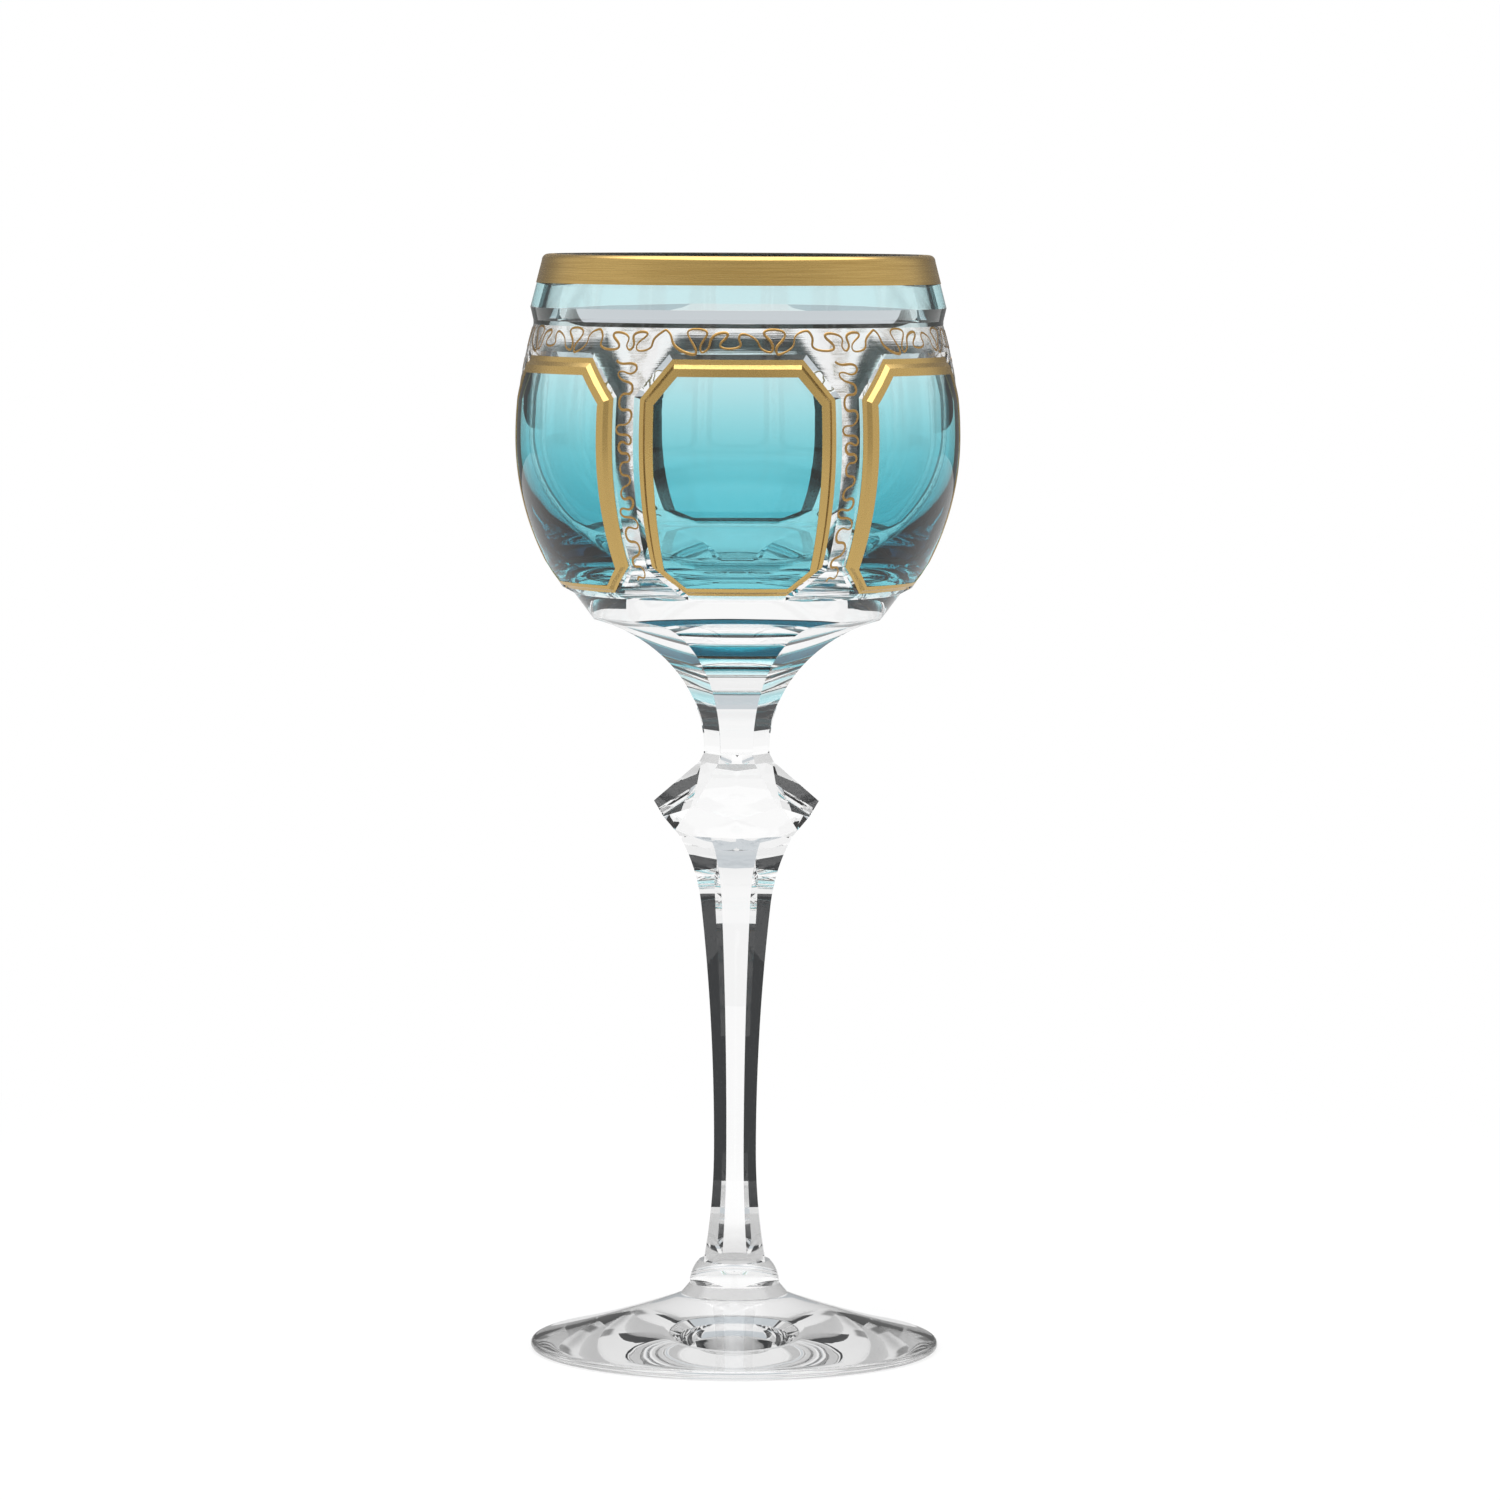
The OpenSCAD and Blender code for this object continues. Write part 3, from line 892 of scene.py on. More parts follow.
@dataclass
class Knop:
    """Faceted knop with a zigzag girdle. Sizes in metres."""

    tip: float = 16.2 * MM
    tip_up: float = 7.04 * MM
    collar_height: float = 1.6 * MM
    collar: float = 6.0 * MM
    neck: float = 5.3 * MM

    def build(self, finishes: Finishes, stem: Stem) -> None:
        """Cuts the knop from a block, draws up its collar and dresses it.

        Args:
            finishes: Finishes of the glass.
            stem: Stem that the knop stands on.
        """
        low, high = node_low("knop"), node_low("bowl")
        z_tip, z_collar = low + self.tip_up, high - self.collar_height
        flat = stem.flat_at(low)
        down = (self.tip - flat) / self.tip_up
        up = (self.tip * math.cos(SECTOR / 2) - self.collar) / (z_collar - z_tip)
        Bench.clear()
        bpy.ops.mesh.primitive_cylinder_add(
            vertices=24, radius=2 * self.tip, depth=z_collar - low, location=(0, 0, (low + z_collar) / 2)
        )
        bpy.ops.object.transform_apply(location=True, rotation=True, scale=True)
        piece = Bench.begin("glass_knop")
        for i in range(SIDES):
            for turn, lean, place in (
                (i * SECTOR, -down, (flat, low)),
                ((i + 0.5) * SECTOR, up, (self.collar, z_collar)),
            ):
                across = Vector((math.cos(turn), math.sin(turn), 0))
                bpy.ops.mesh.select_all(action="SELECT")
                bpy.ops.mesh.bisect(
                    plane_co=across * place[0] + Vector((0, 0, place[1])),
                    plane_no=across + Vector((0, 0, lean)),
                    use_fill=True,
                    clear_outer=True,
                )
        Bench.pick(piece, lambda c, n: n.z > 0.99)
        Bench.draw_out(self.collar_height, self.neck / self.collar, high)
        Bench.close(piece)
        Bench.finish(piece, 10)
        dress(piece, Slot.CRYSTAL, [finishes.crystal, finishes.seam],
              lambda c, n: Cut(abs(n.z) > 0.99), ["knop"])


@dataclass
class PanelPattern:
    """Flat pattern of one sixth of the bowl, and the rule that wraps it round the bowl.

    The pattern's X runs round the bowl as an angle times the bowl's radius, its Y up the bowl, and
    its Z tells the front of a piece from its back. Sizes in metres.
    """

    bowl_radius: float = 41.45 * MM
    proud: float = 0.3 * MM
    waist_up: float = 27.9 * MM
    lower_sweep: float = 50.0 * MM
    upper_sweep: float = 72.0 * MM
    half_angle: float = math.radians(26)
    top_half: float = 12.78 * MM
    top_cut: float = 7.15 * MM
    bottom_half: float = 11.65 * MM
    bottom_cut: float = 5.2 * MM
    top_depth: float = 0.4 * MM
    waist_depth: float = 1.4 * MM
    bottom_depth: float = 3.4 * MM
    valley: float = 0.45 * MM
    crest: float = 0.35 * MM
    wall: float = 0.9 * MM
    bevel: float = 0.7 * MM
    margin: float = 1.45 * MM
    thin: float = 0.06 * MM
    low_share: float = 0.45
    groove: float = 1.0 * MM
    shoulder: float = 30.4 * MM
    shoulder_drop: float = 1.2 * MM
    step_height: float = 3.2 * MM
    score_reach: float = 2.2 * MM
    score_band: Point = (-7.0 * MM, 2.4 * MM)
    columns: int = 36
    rows: int = 52
    top: float = field(init=False)
    bottom: float = field(init=False)
    sides: List[Tuple[Vector, float, float]] = field(init=False)
    corners: List[Point] = field(init=False)
    back_centre: Point = field(init=False)
    back_radius: float = field(init=False)

    def __post_init__(self) -> None:
        """Works out the outline's eight sides and the arc of the panels' back."""
        self.top, self.bottom = node_high("panel_1"), node_low("panel_1")
        side = self.half_angle * self.bowl_radius
        right = [(self.bottom_half, self.bottom), (side, self.bottom + self.bottom_cut),
                 (side, self.top - self.top_cut), (self.top_half, self.top)]
        self.corners = right + [(-x, y) for x, y in reversed(right)]
        self.sides = []
        for (x0, y0), (x1, y1) in zip(self.corners, self.corners[1:] + self.corners[:1]):
            out = Vector((y1 - y0, x0 - x1)).normalized()
            share = self.low_share if out.y < -0.1 else 1.0
            self.sides.append((out, out.x * x0 + out.y * y0, share))
        lean = math.asin(self.waist_up / self.lower_sweep)
        self.back_centre, self.back_radius = circle_through(
            (self.sweep_at(self.top, self.proud) - self.top_depth, self.top),
            (self.bowl_radius - self.waist_depth, self.waist),
            (self.sweep_at(self.bottom, self.proud) - self.bottom_depth * math.cos(lean),
             self.bottom + self.bottom_depth * math.sin(lean)),
        )

    @property
    def waist(self) -> float:
        """Height at which the bowl is widest."""
        return self.bottom + self.waist_up

    @property
    def shoulder_at(self) -> float:
        """Height of the shoulder's edge, under the panels."""
        return self.bottom - self.shoulder_drop

    @property
    def frame_inner(self) -> float:
        """Inner edge of the gold frame, as a distance beyond the outline."""
        return -self.wall - self.bevel - self.margin

    def sweep_at(self, z: float, out: float) -> float:
        """Radius of the bowl's sweeps.

        Args:
            z: Height.
            out: How far the surface stands out from the ground.

        Returns:
            The radius at that height.
        """
        sweep = self.lower_sweep if z < self.waist else self.upper_sweep
        ground = self.bowl_radius - self.proud
        if z >= self.bottom:
            return ground - sweep + math.sqrt((sweep + out) ** 2 - (z - self.waist) ** 2)
        edge = self.sweep_at(self.bottom, 0.0)
        part = (self.bottom - z) / self.shoulder_drop
        return edge + (self.shoulder - edge) * part + out * 0.6

    def beyond(self, x: float, y: float) -> float:
        """Distance of a place from the panel's outline.

        Args:
            x: Place across the pattern.
            y: Place up the pattern.

        Returns:
            The distance: over 0 outside, and under 0 inside, where a narrower side of the frame counts more.
        """
        found = -1.0
        for out, reach, share in self.sides:
            d = out.x * x + out.y * y - reach
            found = max(found, d / share if d < 0 else d)
        return found

    def stands_out(self, d: float) -> float:
        """How far the cut surface stands out from the ground.

        Args:
            d: Distance beyond the outline.

        Returns:
            The height, which falls from the panel's face into a valley and rises to the ground again.
        """
        steps = [
            (-self.wall - self.bevel, self.proud),
            (-self.wall, -self.crest),
            (0.0, -self.valley),
            (self.groove, 0.0),
        ]
        if d <= steps[0][0]:
            return steps[0][1]
        for (d0, h0), (d1, h1) in zip(steps, steps[1:]):
            if d <= d1:
                return h0 + (h1 - h0) * (d - d0) / (d1 - d0)
        return 0.0

    def back_at(self, z: float) -> float:
        """Radius of the panels' back at a height."""
        return self.back_centre[0] + math.sqrt(self.back_radius**2 - (z - self.back_centre[1]) ** 2)

    def front_at(self, x: float, y: float, over: float = 0.0) -> float:
        """Radius of the cut surface at a place on the pattern, raised by an amount."""
        return self.sweep_at(y, self.stands_out(self.beyond(x, y)) + over)

    def under_at(self, x: float, y: float) -> float:
        """Radius of the panels' back at a place on the pattern, always a little under their front."""
        return min(self.back_at(y), self.front_at(x, y) - self.thin)

    def wrap(self, x: float, radius: float, z: float) -> Vector:
        """Place on the glass of a place on the pattern, at a radius and a height."""
        turn = x / self.bowl_radius
        return Vector((radius * math.sin(turn), -radius * math.cos(turn), z))

    def across(self, c: Vector) -> float:
        """Place across the pattern of a point in any sixth of the glass."""
        turn = (math.atan2(c.x, -c.y) + SECTOR / 2) % SECTOR - SECTOR / 2
        return turn * self.bowl_radius

    def heights(self) -> List[float]:
        """Rows of the pattern between the shoulder and the frieze's top edge."""
        high = node_low("rim_casing") - self.step_height
        return [self.shoulder_at] + spread(self.bottom, high, self.rows)

    def lay_out(self, name: str, heights: Sequence[float]) -> bpy.types.Object:
        """Lays the flat pattern as a grid and scores the panel's lines into it.

        Args:
            name: Name of the piece that it becomes.
            heights: Rows of the grid.

        Returns:
            The flat piece in edit mode.
        """
        half, count = SECTOR / 2 * self.bowl_radius, len(heights) - 1
        Bench.clear()
        bpy.ops.mesh.primitive_grid_add(x_subdivisions=self.columns, y_subdivisions=count, size=2.0)
        piece = Bench.begin(name)

        def stretch(co: Vector) -> Vector:
            """Puts a grid point on its row."""
            return Vector((co.x * half, heights[round((co.y + 1) / 2 * count)], 0))

        Bench.place(piece, stretch)
        for d in (self.frame_inner, -self.wall - self.bevel, -self.wall, 0.0, self.groove):
            for out, reach, share in self.sides:
                self.score(piece, out, reach + (d * share if d < 0 else d))
        for i, (x, y) in enumerate(self.corners):
            (before, _, first), (after, _, second) = self.sides[i - 1], self.sides[i]
            mitre = (before / first - after / second).normalized()
            self.score(piece, mitre, mitre.dot(Vector((x, y))))
        return piece

    def score(self, piece: bpy.types.Object, out: Vector, reach: float) -> None:
        """Cuts the pattern along a line, near the panel's frame only.

        Args:
            piece: Flat piece in edit mode.
            out: Direction across the line.
            reach: Distance of the line from the pattern's origin.
        """
        inner, outer = self.score_band

        def near(c: Vector, n: Vector) -> bool:
            """Picks faces near the line, in the band that the frame lies in."""
            aside = abs(out.x * c.x + out.y * c.y - reach)
            return aside < self.score_reach and inner < self.beyond(c.x, c.y) < outer

        if Bench.pick(piece, near):
            bpy.ops.mesh.bisect(plane_co=(out.x * reach, out.y * reach, 0), plane_no=(out.x, out.y, 0))

    def lift(
        self, piece: bpy.types.Object, inside: Callable[[float], bool],
        front: Callable[[float, float], float], back: Callable[[float, float], float],
    ) -> None:
        """Cuts a shape out of the flat pattern, gives it a back and wraps it round the bowl.

        Args:
            piece: Flat piece in edit mode.
            inside: Says of a distance beyond the outline if it belongs to the shape.
            front: Radius of the shape's front at a place on the pattern.
            back: Radius of its back.
        """
        Bench.pick(piece, lambda c, n: not inside(self.beyond(c.x, c.y)))
        bpy.ops.mesh.delete(type="FACE")
        bpy.ops.mesh.select_all(action="SELECT")
        bpy.ops.mesh.extrude_region_move(TRANSFORM_OT_translate={"value": (0, 0, BACK)})

        def move(co: Vector) -> Vector:
            """Wraps a point on its own side."""
            rule = front if co.z > BACK / 2 else back
            return self.wrap(co.x, rule(co.x, co.y), co.y)

        Bench.place(piece, move)
        Bench.close(piece)


@dataclass
class Bowl:
    """Clear bowl with fluted neck, pockets for the panels and a round inside. Sizes in metres."""

    pattern: PanelPattern
    neck: float = 5.3 * MM
    neck_height: float = 1.0 * MM
    flute: float = 25.0 * MM
    shoulder_slope: float = 0.75
    step: float = 38.1 * MM
    undercut: float = 2.4 * MM
    rim_low: float = 38.65 * MM
    rim_high: float = 36.15 * MM
    casing: float = 0.4 * MM
    lip_round: float = 1.1 * MM
    mouth: float = 33.4 * MM
    mouth_edge: Tuple[Point, ...] = ((0.35 * MM, 0.0), (0.1 * MM, 0.1 * MM), (0.06 * MM, 0.35 * MM))
    inside: float = 39.0 * MM
    inside_waist_up: float = 59.5 * MM
    inside_upper: float = 91.0 * MM
    inside_sweep: float = 32.0 * MM
    inside_corner: float = 12.5 * MM
    floor_up: float = 34.6 * MM
    gap: float = 0.02 * MM
    skin: float = 0.3 * MM

    @property
    def flute_at(self) -> float:
        """Height at which the flutes start to open."""
        return node_low("bowl") + self.neck_height

    @property
    def inside_waist(self) -> float:
        """Height at which the inside is widest."""
        return node_low("bowl") + self.inside_waist_up

    @property
    def ring_end(self) -> float:
        """Angle on the lip's edge at which the coloured ring ends, in degrees."""
        return math.degrees(math.acos(1 - self.casing / self.lip_round))

    def cone_at(self, z: float) -> float:
        """Radius of the cone under the shoulder at a height."""
        return self.pattern.shoulder - (self.pattern.shoulder_at - z) * self.shoulder_slope

    def flat_at(self, z: float) -> float:
        """Distance of the flutes from the axis at a height."""
        up = min(max(z - self.flute_at, 0.0), self.flute)
        return self.neck + self.flute - math.sqrt(self.flute**2 - up**2)

    def crease_at(self, turn: float) -> float:
        """Height at which a flute meets the cone above it.

        Args:
            turn: Angle from the flute's middle.

        Returns:
            The height, found by halving.
        """
        low, high = self.flute_at + 0.5 * self.flute, self.flute_at + self.flute
        for _ in range(48):
            z = (low + high) / 2
            if self.flat_at(z) / math.cos(turn) < self.cone_at(z):
                low = z
            else:
                high = z
        return low

    def rows(self) -> List[float]:
        """Rows of the bowl's pattern.

        Returns:
            Heights from the neck upwards.
        """
        arch = [self.flute_at + self.flute * math.sin(t) for t in spread(0.0, math.pi / 2, 48)]
        cone = spread(arch[-1], self.pattern.shoulder_at, 4)[1:-1]
        return [node_low("bowl")] + arch + cone + self.pattern.heights()

    def surface(self, co: Vector) -> Vector:
        """Place on the clear bowl of a point of its flat pattern.

        Args:
            co: The point.

        Returns:
            Its place on the glass.
        """
        p = self.pattern
        z_flute, z_shoulder = self.flute_at, p.shoulder_at
        z_top = z_flute + self.flute
        turn = co.x / p.bowl_radius
        if co.y < z_shoulder - 1e-9:
            crease = self.crease_at(turn)
            if co.y <= z_flute:
                return p.wrap(co.x, self.neck / math.cos(turn), co.y)
            if co.y <= z_top:
                z = z_flute + (co.y - z_flute) / self.flute * (crease - z_flute)
                return p.wrap(co.x, self.flat_at(z) / math.cos(turn), z)
            z = crease + (co.y - z_top) / (z_shoulder - z_top) * (z_shoulder - crease)
            return p.wrap(co.x, self.cone_at(z), z)
        if co.z < BACK / 2:
            return p.wrap(co.x, p.under_at(co.x, co.y) - self.gap, co.y)
        return p.wrap(co.x, p.front_at(co.x, co.y), co.y)

    def rim_at(self, z: float) -> float:
        """Outer radius of the coloured ring at a height."""
        low, high = node_low("rim_casing"), node_high("bowl")
        return self.rim_low + (self.rim_high - self.rim_low) * (z - low) / (high - low)

    def lip_arc(self, start: float, end: float, grow: float = 0.0) -> List[Point]:
        """Points on the round outer edge of the lip.

        Args:
            start: Angle from level at which they start, in degrees.
            end: Angle at which they end.
            grow: How far they lie outside the edge.

        Returns:
            The points, both ends included.
        """
        high = node_high("bowl") - self.lip_round
        turns = [math.radians(degrees) for degrees in spread(start, end, 6)]
        radius, middle = self.lip_round + grow, self.rim_at(high) - self.lip_round
        return [(middle + radius * math.cos(t), high + radius * math.sin(t)) for t in turns]

    def touch(self) -> Point:
        """Place on the inside where the straight part at the mouth leads into the long arc.

        Returns:
            The place, as distance from the axis and height.
        """
        long, z_in = self.inside_upper, self.inside_waist
        x, z = self.mouth - self.inside + long, node_high("bowl") - z_in
        lean = math.atan2(z, x) - math.acos(long / math.hypot(x, z))
        return self.inside - long * (1 - math.cos(lean)), z_in + long * math.sin(lean)

    def inside_at(self, z: float) -> float:
        """Radius of the inside, above its round corner.

        Args:
            z: Height.

        Returns:
            The radius at that height.
        """
        touch = self.touch()
        if z > touch[1]:
            return touch[0] + (self.mouth - touch[0]) * (z - touch[1]) / (node_high("bowl") - touch[1])
        sweep = self.inside_sweep if z < self.inside_waist else self.inside_upper
        return self.inside - sweep + math.sqrt(max(0.0, sweep**2 - (z - self.inside_waist) ** 2))

    def inner_outline(self) -> List[Point]:
        """Outline above the frieze.

        Returns:
            Points on the step, the rim, the lip and the inside down to its floor.
        """
        z_rim, z_lip, z_in = node_low("rim_casing"), node_high("bowl"), self.inside_waist
        z_floor = node_low("bowl") + self.floor_up
        z_corner = z_floor + self.inside_corner
        sweep_x = self.inside - self.inside_sweep
        room = self.inside_sweep - self.inside_corner
        corner_x = sweep_x + math.sqrt(room**2 - (z_in - z_corner) ** 2)
        z_meet = z_in - (z_in - z_corner) * self.inside_sweep / room
        touch = self.touch()
        points = [
            (self.step, z_rim - self.undercut),
            (self.rim_low, z_rim),
            (self.rim_low - self.casing - self.gap, z_rim + self.gap),
        ]
        points += [(r - self.gap, z) for r, z in self.lip_arc(self.ring_end, 90)]
        points += [(self.mouth + out, z_lip - down) for out, down in self.mouth_edge]
        points += list(zip(spread(self.mouth, touch[0], 8), spread(z_lip, touch[1], 8)))[1:-1]
        points += arc((self.inside - self.inside_upper, z_in), self.inside_upper, touch[1], z_in, 24)
        points += arc((sweep_x, z_in), self.inside_sweep, z_in, z_meet, 40)[1:]
        points += arc((corner_x, z_corner), self.inside_corner, z_meet, z_floor, 48)[1:]
        return points + [(corner_x * f, z_floor) for f in (0.75, 0.5, 0.25)]

    def build(self, finishes: Finishes) -> None:
        """Lays out one sixth of the bowl, cuts the pocket, goes round with it and hollows it.

        Args:
            finishes: Finishes of the glass.
        """
        p = self.pattern
        piece = p.lay_out("glass_bowl", self.rows())
        Bench.pick(piece, lambda c, n: p.beyond(c.x, c.y) < 0)
        bpy.ops.mesh.extrude_region_move(TRANSFORM_OT_translate={"value": (0, 0, BACK)})
        Bench.place(piece, self.surface)
        Bench.go_round()
        bpy.ops.mesh.select_all(action="SELECT")
        bpy.ops.mesh.remove_doubles(threshold=WELD)
        low, top = node_low("bowl"), max(p.heights())
        radius, height = p.sweep_at(top, 0.0), top
        Bench.pick_rim(piece, lambda c: c.z > top - 0.1 * MM)
        for r, z in self.inner_outline():
            Bench.draw_out(z - height, r / radius, z, edges=True)
            radius, height = r, z
        bpy.ops.mesh.edge_face_add()
        Bench.pick_rim(piece, lambda c: c.z < low + 0.1 * MM)
        bpy.ops.mesh.edge_face_add()
        Bench.close(piece)
        Bench.finish(piece, 9)
        materials = [finishes.crystal, finishes.seam, finishes.ground]
        dress(piece, Slot.CRYSTAL, materials, self.choose, ["bowl"])

    def choose(self, c: Vector, n: Vector) -> Cut:
        """Which finish a face of the bowl has.

        Args:
            c: The face's middle.
            n: Its normal.

        Returns:
            The finish.
        """
        p = self.pattern
        z_rim, z_ring = node_low("rim_casing"), self.lip_arc(self.ring_end, 90)[0][1]
        radius = math.hypot(c.x, c.y)
        outer = radius > self.inside_at(c.z) + self.skin
        if c.z < node_low("bowl") + TOUCH:
            return Cut.FUSED
        if z_rim < c.z < z_ring and n.x * c.x + n.y * c.y > 0 and outer:
            return Cut.FUSED
        if z_rim - TOUCH < c.z < z_rim + 2 * self.gap and radius > self.rim_low - 2 * self.casing:
            return Cut.FUSED
        if p.bottom - TOUCH < c.z < max(p.heights()):
            d = p.beyond(p.across(c), c.z)
            if d < self.gap and outer:
                return Cut.FUSED
            if d > p.groove and radius >= p.sweep_at(c.z, -p.valley) - 0.01 * MM:
                return Cut.GROUND
        return Cut.POLISHED


@dataclass
class Rim:
    """Coloured ring under the lip and the gold band on it. Sizes in metres."""

    bowl: Bowl
    gold: float = 0.12 * MM
    sunk: float = 0.04 * MM
    lip: float = 1.9 * MM
    steps: int = 216

    def build(self, finishes: Finishes) -> None:
        """Turns the ring and its gold and dresses them.

        Args:
            finishes: Finishes of the glass.
        """
        bowl = self.bowl
        low, high = node_low("rim_casing"), node_high("bowl")
        straight = high - bowl.lip_round
        edge = bowl.lip_arc(0, bowl.ring_end)
        outer = [(bowl.rim_at(z), z) for z in spread(low, straight, 9)[:-1]] + edge
        inner = [(bowl.rim_at(z) - bowl.casing, z) for z in spread(edge[-1][1], low, 9)[1:-1]]
        inner.append((bowl.rim_low - bowl.casing, low + 2 * bowl.gap))
        ring = Bench.finish(Bench.turn("rim_ring", outer + inner + outer[:1], self.steps), 25)
        mark_open(ring, lambda c, n: n.x * c.x + n.y * c.y > 0 and n.z > -0.9)
        dress(ring, Slot.AQUA, [finishes.aqua], None, ["rim_casing"])
        heights = spread(node_low("rim_gilding"), straight, 8)[:-1]
        end = bowl.rim_high - self.lip
        points = [(bowl.rim_at(z) + self.gold, z) for z in heights] + bowl.lip_arc(0, 90, self.gold)
        points += [(end, high + self.gold), (end, high - self.sunk)]
        points += bowl.lip_arc(90, 0, -self.sunk)
        points += [(bowl.rim_at(z) - self.sunk, z) for z in reversed(heights)]
        band = Bench.finish(Bench.turn("rim_gold", points + points[:1], self.steps), 25)

        def is_under(c: Vector, n: Vector) -> int:
            """1 on the gold's underside."""
            return int((n.x * c.x + n.y * c.y) / math.hypot(c.x, c.y) + n.z < 0)

        dress(band, Slot.GOLD, [finishes.rim_gold, finishes.gold_back], is_under, ["rim_gilding"])


@dataclass
class Panels:
    """Six coloured panels with their gold frames. Sizes in metres."""

    pattern: PanelPattern
    gold: float = 0.07 * MM
    sunk: float = 0.04 * MM

    def build(self, finishes: Finishes) -> None:
        """Makes one panel and one frame, copies them round and dresses them all.

        Args:
            finishes: Finishes of the glass.
        """
        p = self.pattern
        glass = p.lay_out("aqua_panel_1", p.heights())
        p.lift(glass, lambda d: d < 0, p.front_at, p.under_at)
        Bench.finish(glass, 9)
        gold = p.lay_out("gold_frame_1", p.heights())
        p.lift(gold, lambda d: p.frame_inner < d < 0, lambda x, y: p.front_at(x, y, self.gold),
               lambda x, y: p.front_at(x, y, -self.sunk))
        Bench.finish(gold, 9)

        def is_open(c: Vector, n: Vector) -> bool:
            """True on the panel's front."""
            front = p.front_at(p.across(c), c.z)
            return math.hypot(c.x, c.y) > front - 0.05 * MM and n.dot(Vector((c.x, c.y, 0))) > 0

        def is_under(c: Vector, n: Vector) -> int:
            """1 on the gold's underside."""
            return int(math.hypot(c.x, c.y) < p.front_at(p.across(c), c.z) + 0.005 * MM)

        mark_open(glass, is_open)
        for i in range(SIDES):
            piece = glass if i == 0 else Bench.copy_round(glass, f"aqua_panel_{i + 1}", i * SECTOR)
            dress(piece, Slot.AQUA, [finishes.aqua], None, [f"panel_{i + 1}"])
        coats = [finishes.frame_gold, finishes.gold_back]
        for i in range(SIDES):
            piece = gold if i == 0 else Bench.copy_round(gold, f"gold_frame_{i + 1}", i * SECTOR)
            dress(piece, Slot.GOLD, coats, is_under, [f"panel_gilding_{i + 1}"])


@dataclass(frozen=True)
class Winding:
    """Line whose heading swings to and fro as it goes along.

    Headings are in degrees. The swings run ahead and lag behind by uneven, in radians, and lean over
    by a share of their height.
    """

    turns: int
    bend: float
    lean: float
    uneven: float = 0.6
    flutters: int = 23
    flutter_bend: float = 10.0
    steps: int = 420

    def draw(self) -> List[Point]:
        """Draws the line from (0, 0) to about (1, 0).

        Returns:
            Its points, at most 1 high and low, with slow drift taken out.
        """
        x = y = 0.0
        points = [(x, y)]
        for i in range(self.steps):
            t = (i + 0.5) / self.steps
            swing = math.sin(TAU * self.turns * t + self.uneven * math.sin(2 * TAU * t))
            heading = self.bend * (1 + 0.12 * math.sin(3 * TAU * t + 1)) * swing
            heading += self.flutter_bend * math.sin(TAU * self.flutters * t + 0.5)
            x += math.cos(math.radians(heading))
            y += math.sin(math.radians(heading))
            points.append((x, y))
        level = [py - y * i / self.steps for i, (_, py) in enumerate(points)]
        span = self.steps // 9
        line = []
        for i, (px, _) in enumerate(points):
            near = [level[(i + k) % self.steps] for k in range(-span, span + 1)]
            line.append((px / x, level[i] - sum(near) / len(near)))
        reach = max(abs(py) for _, py in line)
        return [(px + self.lean * math.sin(3 * TAU * px) * py / x, py / reach) for px, py in line]


@dataclass
class Scrollwork:
    """Thin gold line that wanders over the clear ground. Sizes in metres."""

    pattern: PanelPattern
    half: float = 0.22 * MM
    rise: float = 0.25
    sunk: float = 0.02 * MM
    frieze: Winding = Winding(8, 104.0, 0.4)
    frieze_up: float = 3.3 * MM
    frieze_half: float = 2.3 * MM
    pillar: Winding = Winding(10, 92.0, 0.1)
    pillar_gap: float = 0.2 * MM
    pillar_end: float = 2.6 * MM
    pillar_half: float = 1.75 * MM
    pillar_head: float = 0.12
    pillar_widens: float = 1.2

    def lines(self) -> List[List[Point]]:
        """The lines of one sixth of the bowl.

        Returns:
            The points of the frieze's line and of the pillar's, on the flat pattern.
        """
        p = self.pattern
        run = SECTOR * p.bowl_radius
        frieze = [(-run / 2 + x * run, p.top + self.frieze_up + y * self.frieze_half)
                  for x, y in self.frieze.draw()]
        high, low = p.top - self.pillar_gap, p.bottom + self.pillar_end
        pillar = []
        for x, y in self.pillar.draw():
            wide = self.pillar_half * (1 + self.pillar_widens * max(0.0, 1 - x / self.pillar_head))
            pillar.append((run / 2 + y * wide, high + x * (low - high)))
        return [frieze, pillar]

    def build(self, finishes: Finishes) -> None:
        """Draws the lines flat, wraps them round the bowl, goes round with them and dresses them.

        Args:
            finishes: Finishes of the glass.
        """
        p = self.pattern
        Bench.clear()
        bpy.ops.curve.primitive_bezier_curve_add()
        curve = bpy.context.object.data
        curve.splines.clear()
        for number, points in enumerate(self.lines()):
            line = curve.splines.new("POLY")
            line.points.add(len(points) - 1)
            for i, (x, y) in enumerate(points):
                line.points[i].co = (x, y, 0, 1)
                line.points[i].radius = 1.0 + 0.3 * math.sin(i * 0.11 + number) * math.sin(i * 0.043)
        curve.dimensions, curve.fill_mode = "3D", "FULL"
        curve.bevel_depth, curve.bevel_resolution, curve.use_fill_caps = self.half, 1, True
        bpy.ops.object.convert(target="MESH")
        piece = Bench.begin("gold_scrollwork")

        def move(co: Vector) -> Vector:
            """Wraps a point of the line on the ground, flattened."""
            over = max(co.z * self.rise, -self.sunk)
            return p.wrap(co.x, p.sweep_at(co.y, over), co.y)

        Bench.place(piece, move)
        Bench.go_round()
        Bench.close(piece)
        Bench.finish(piece, 40)
        dress(piece, Slot.GOLD, [finishes.line_gold])


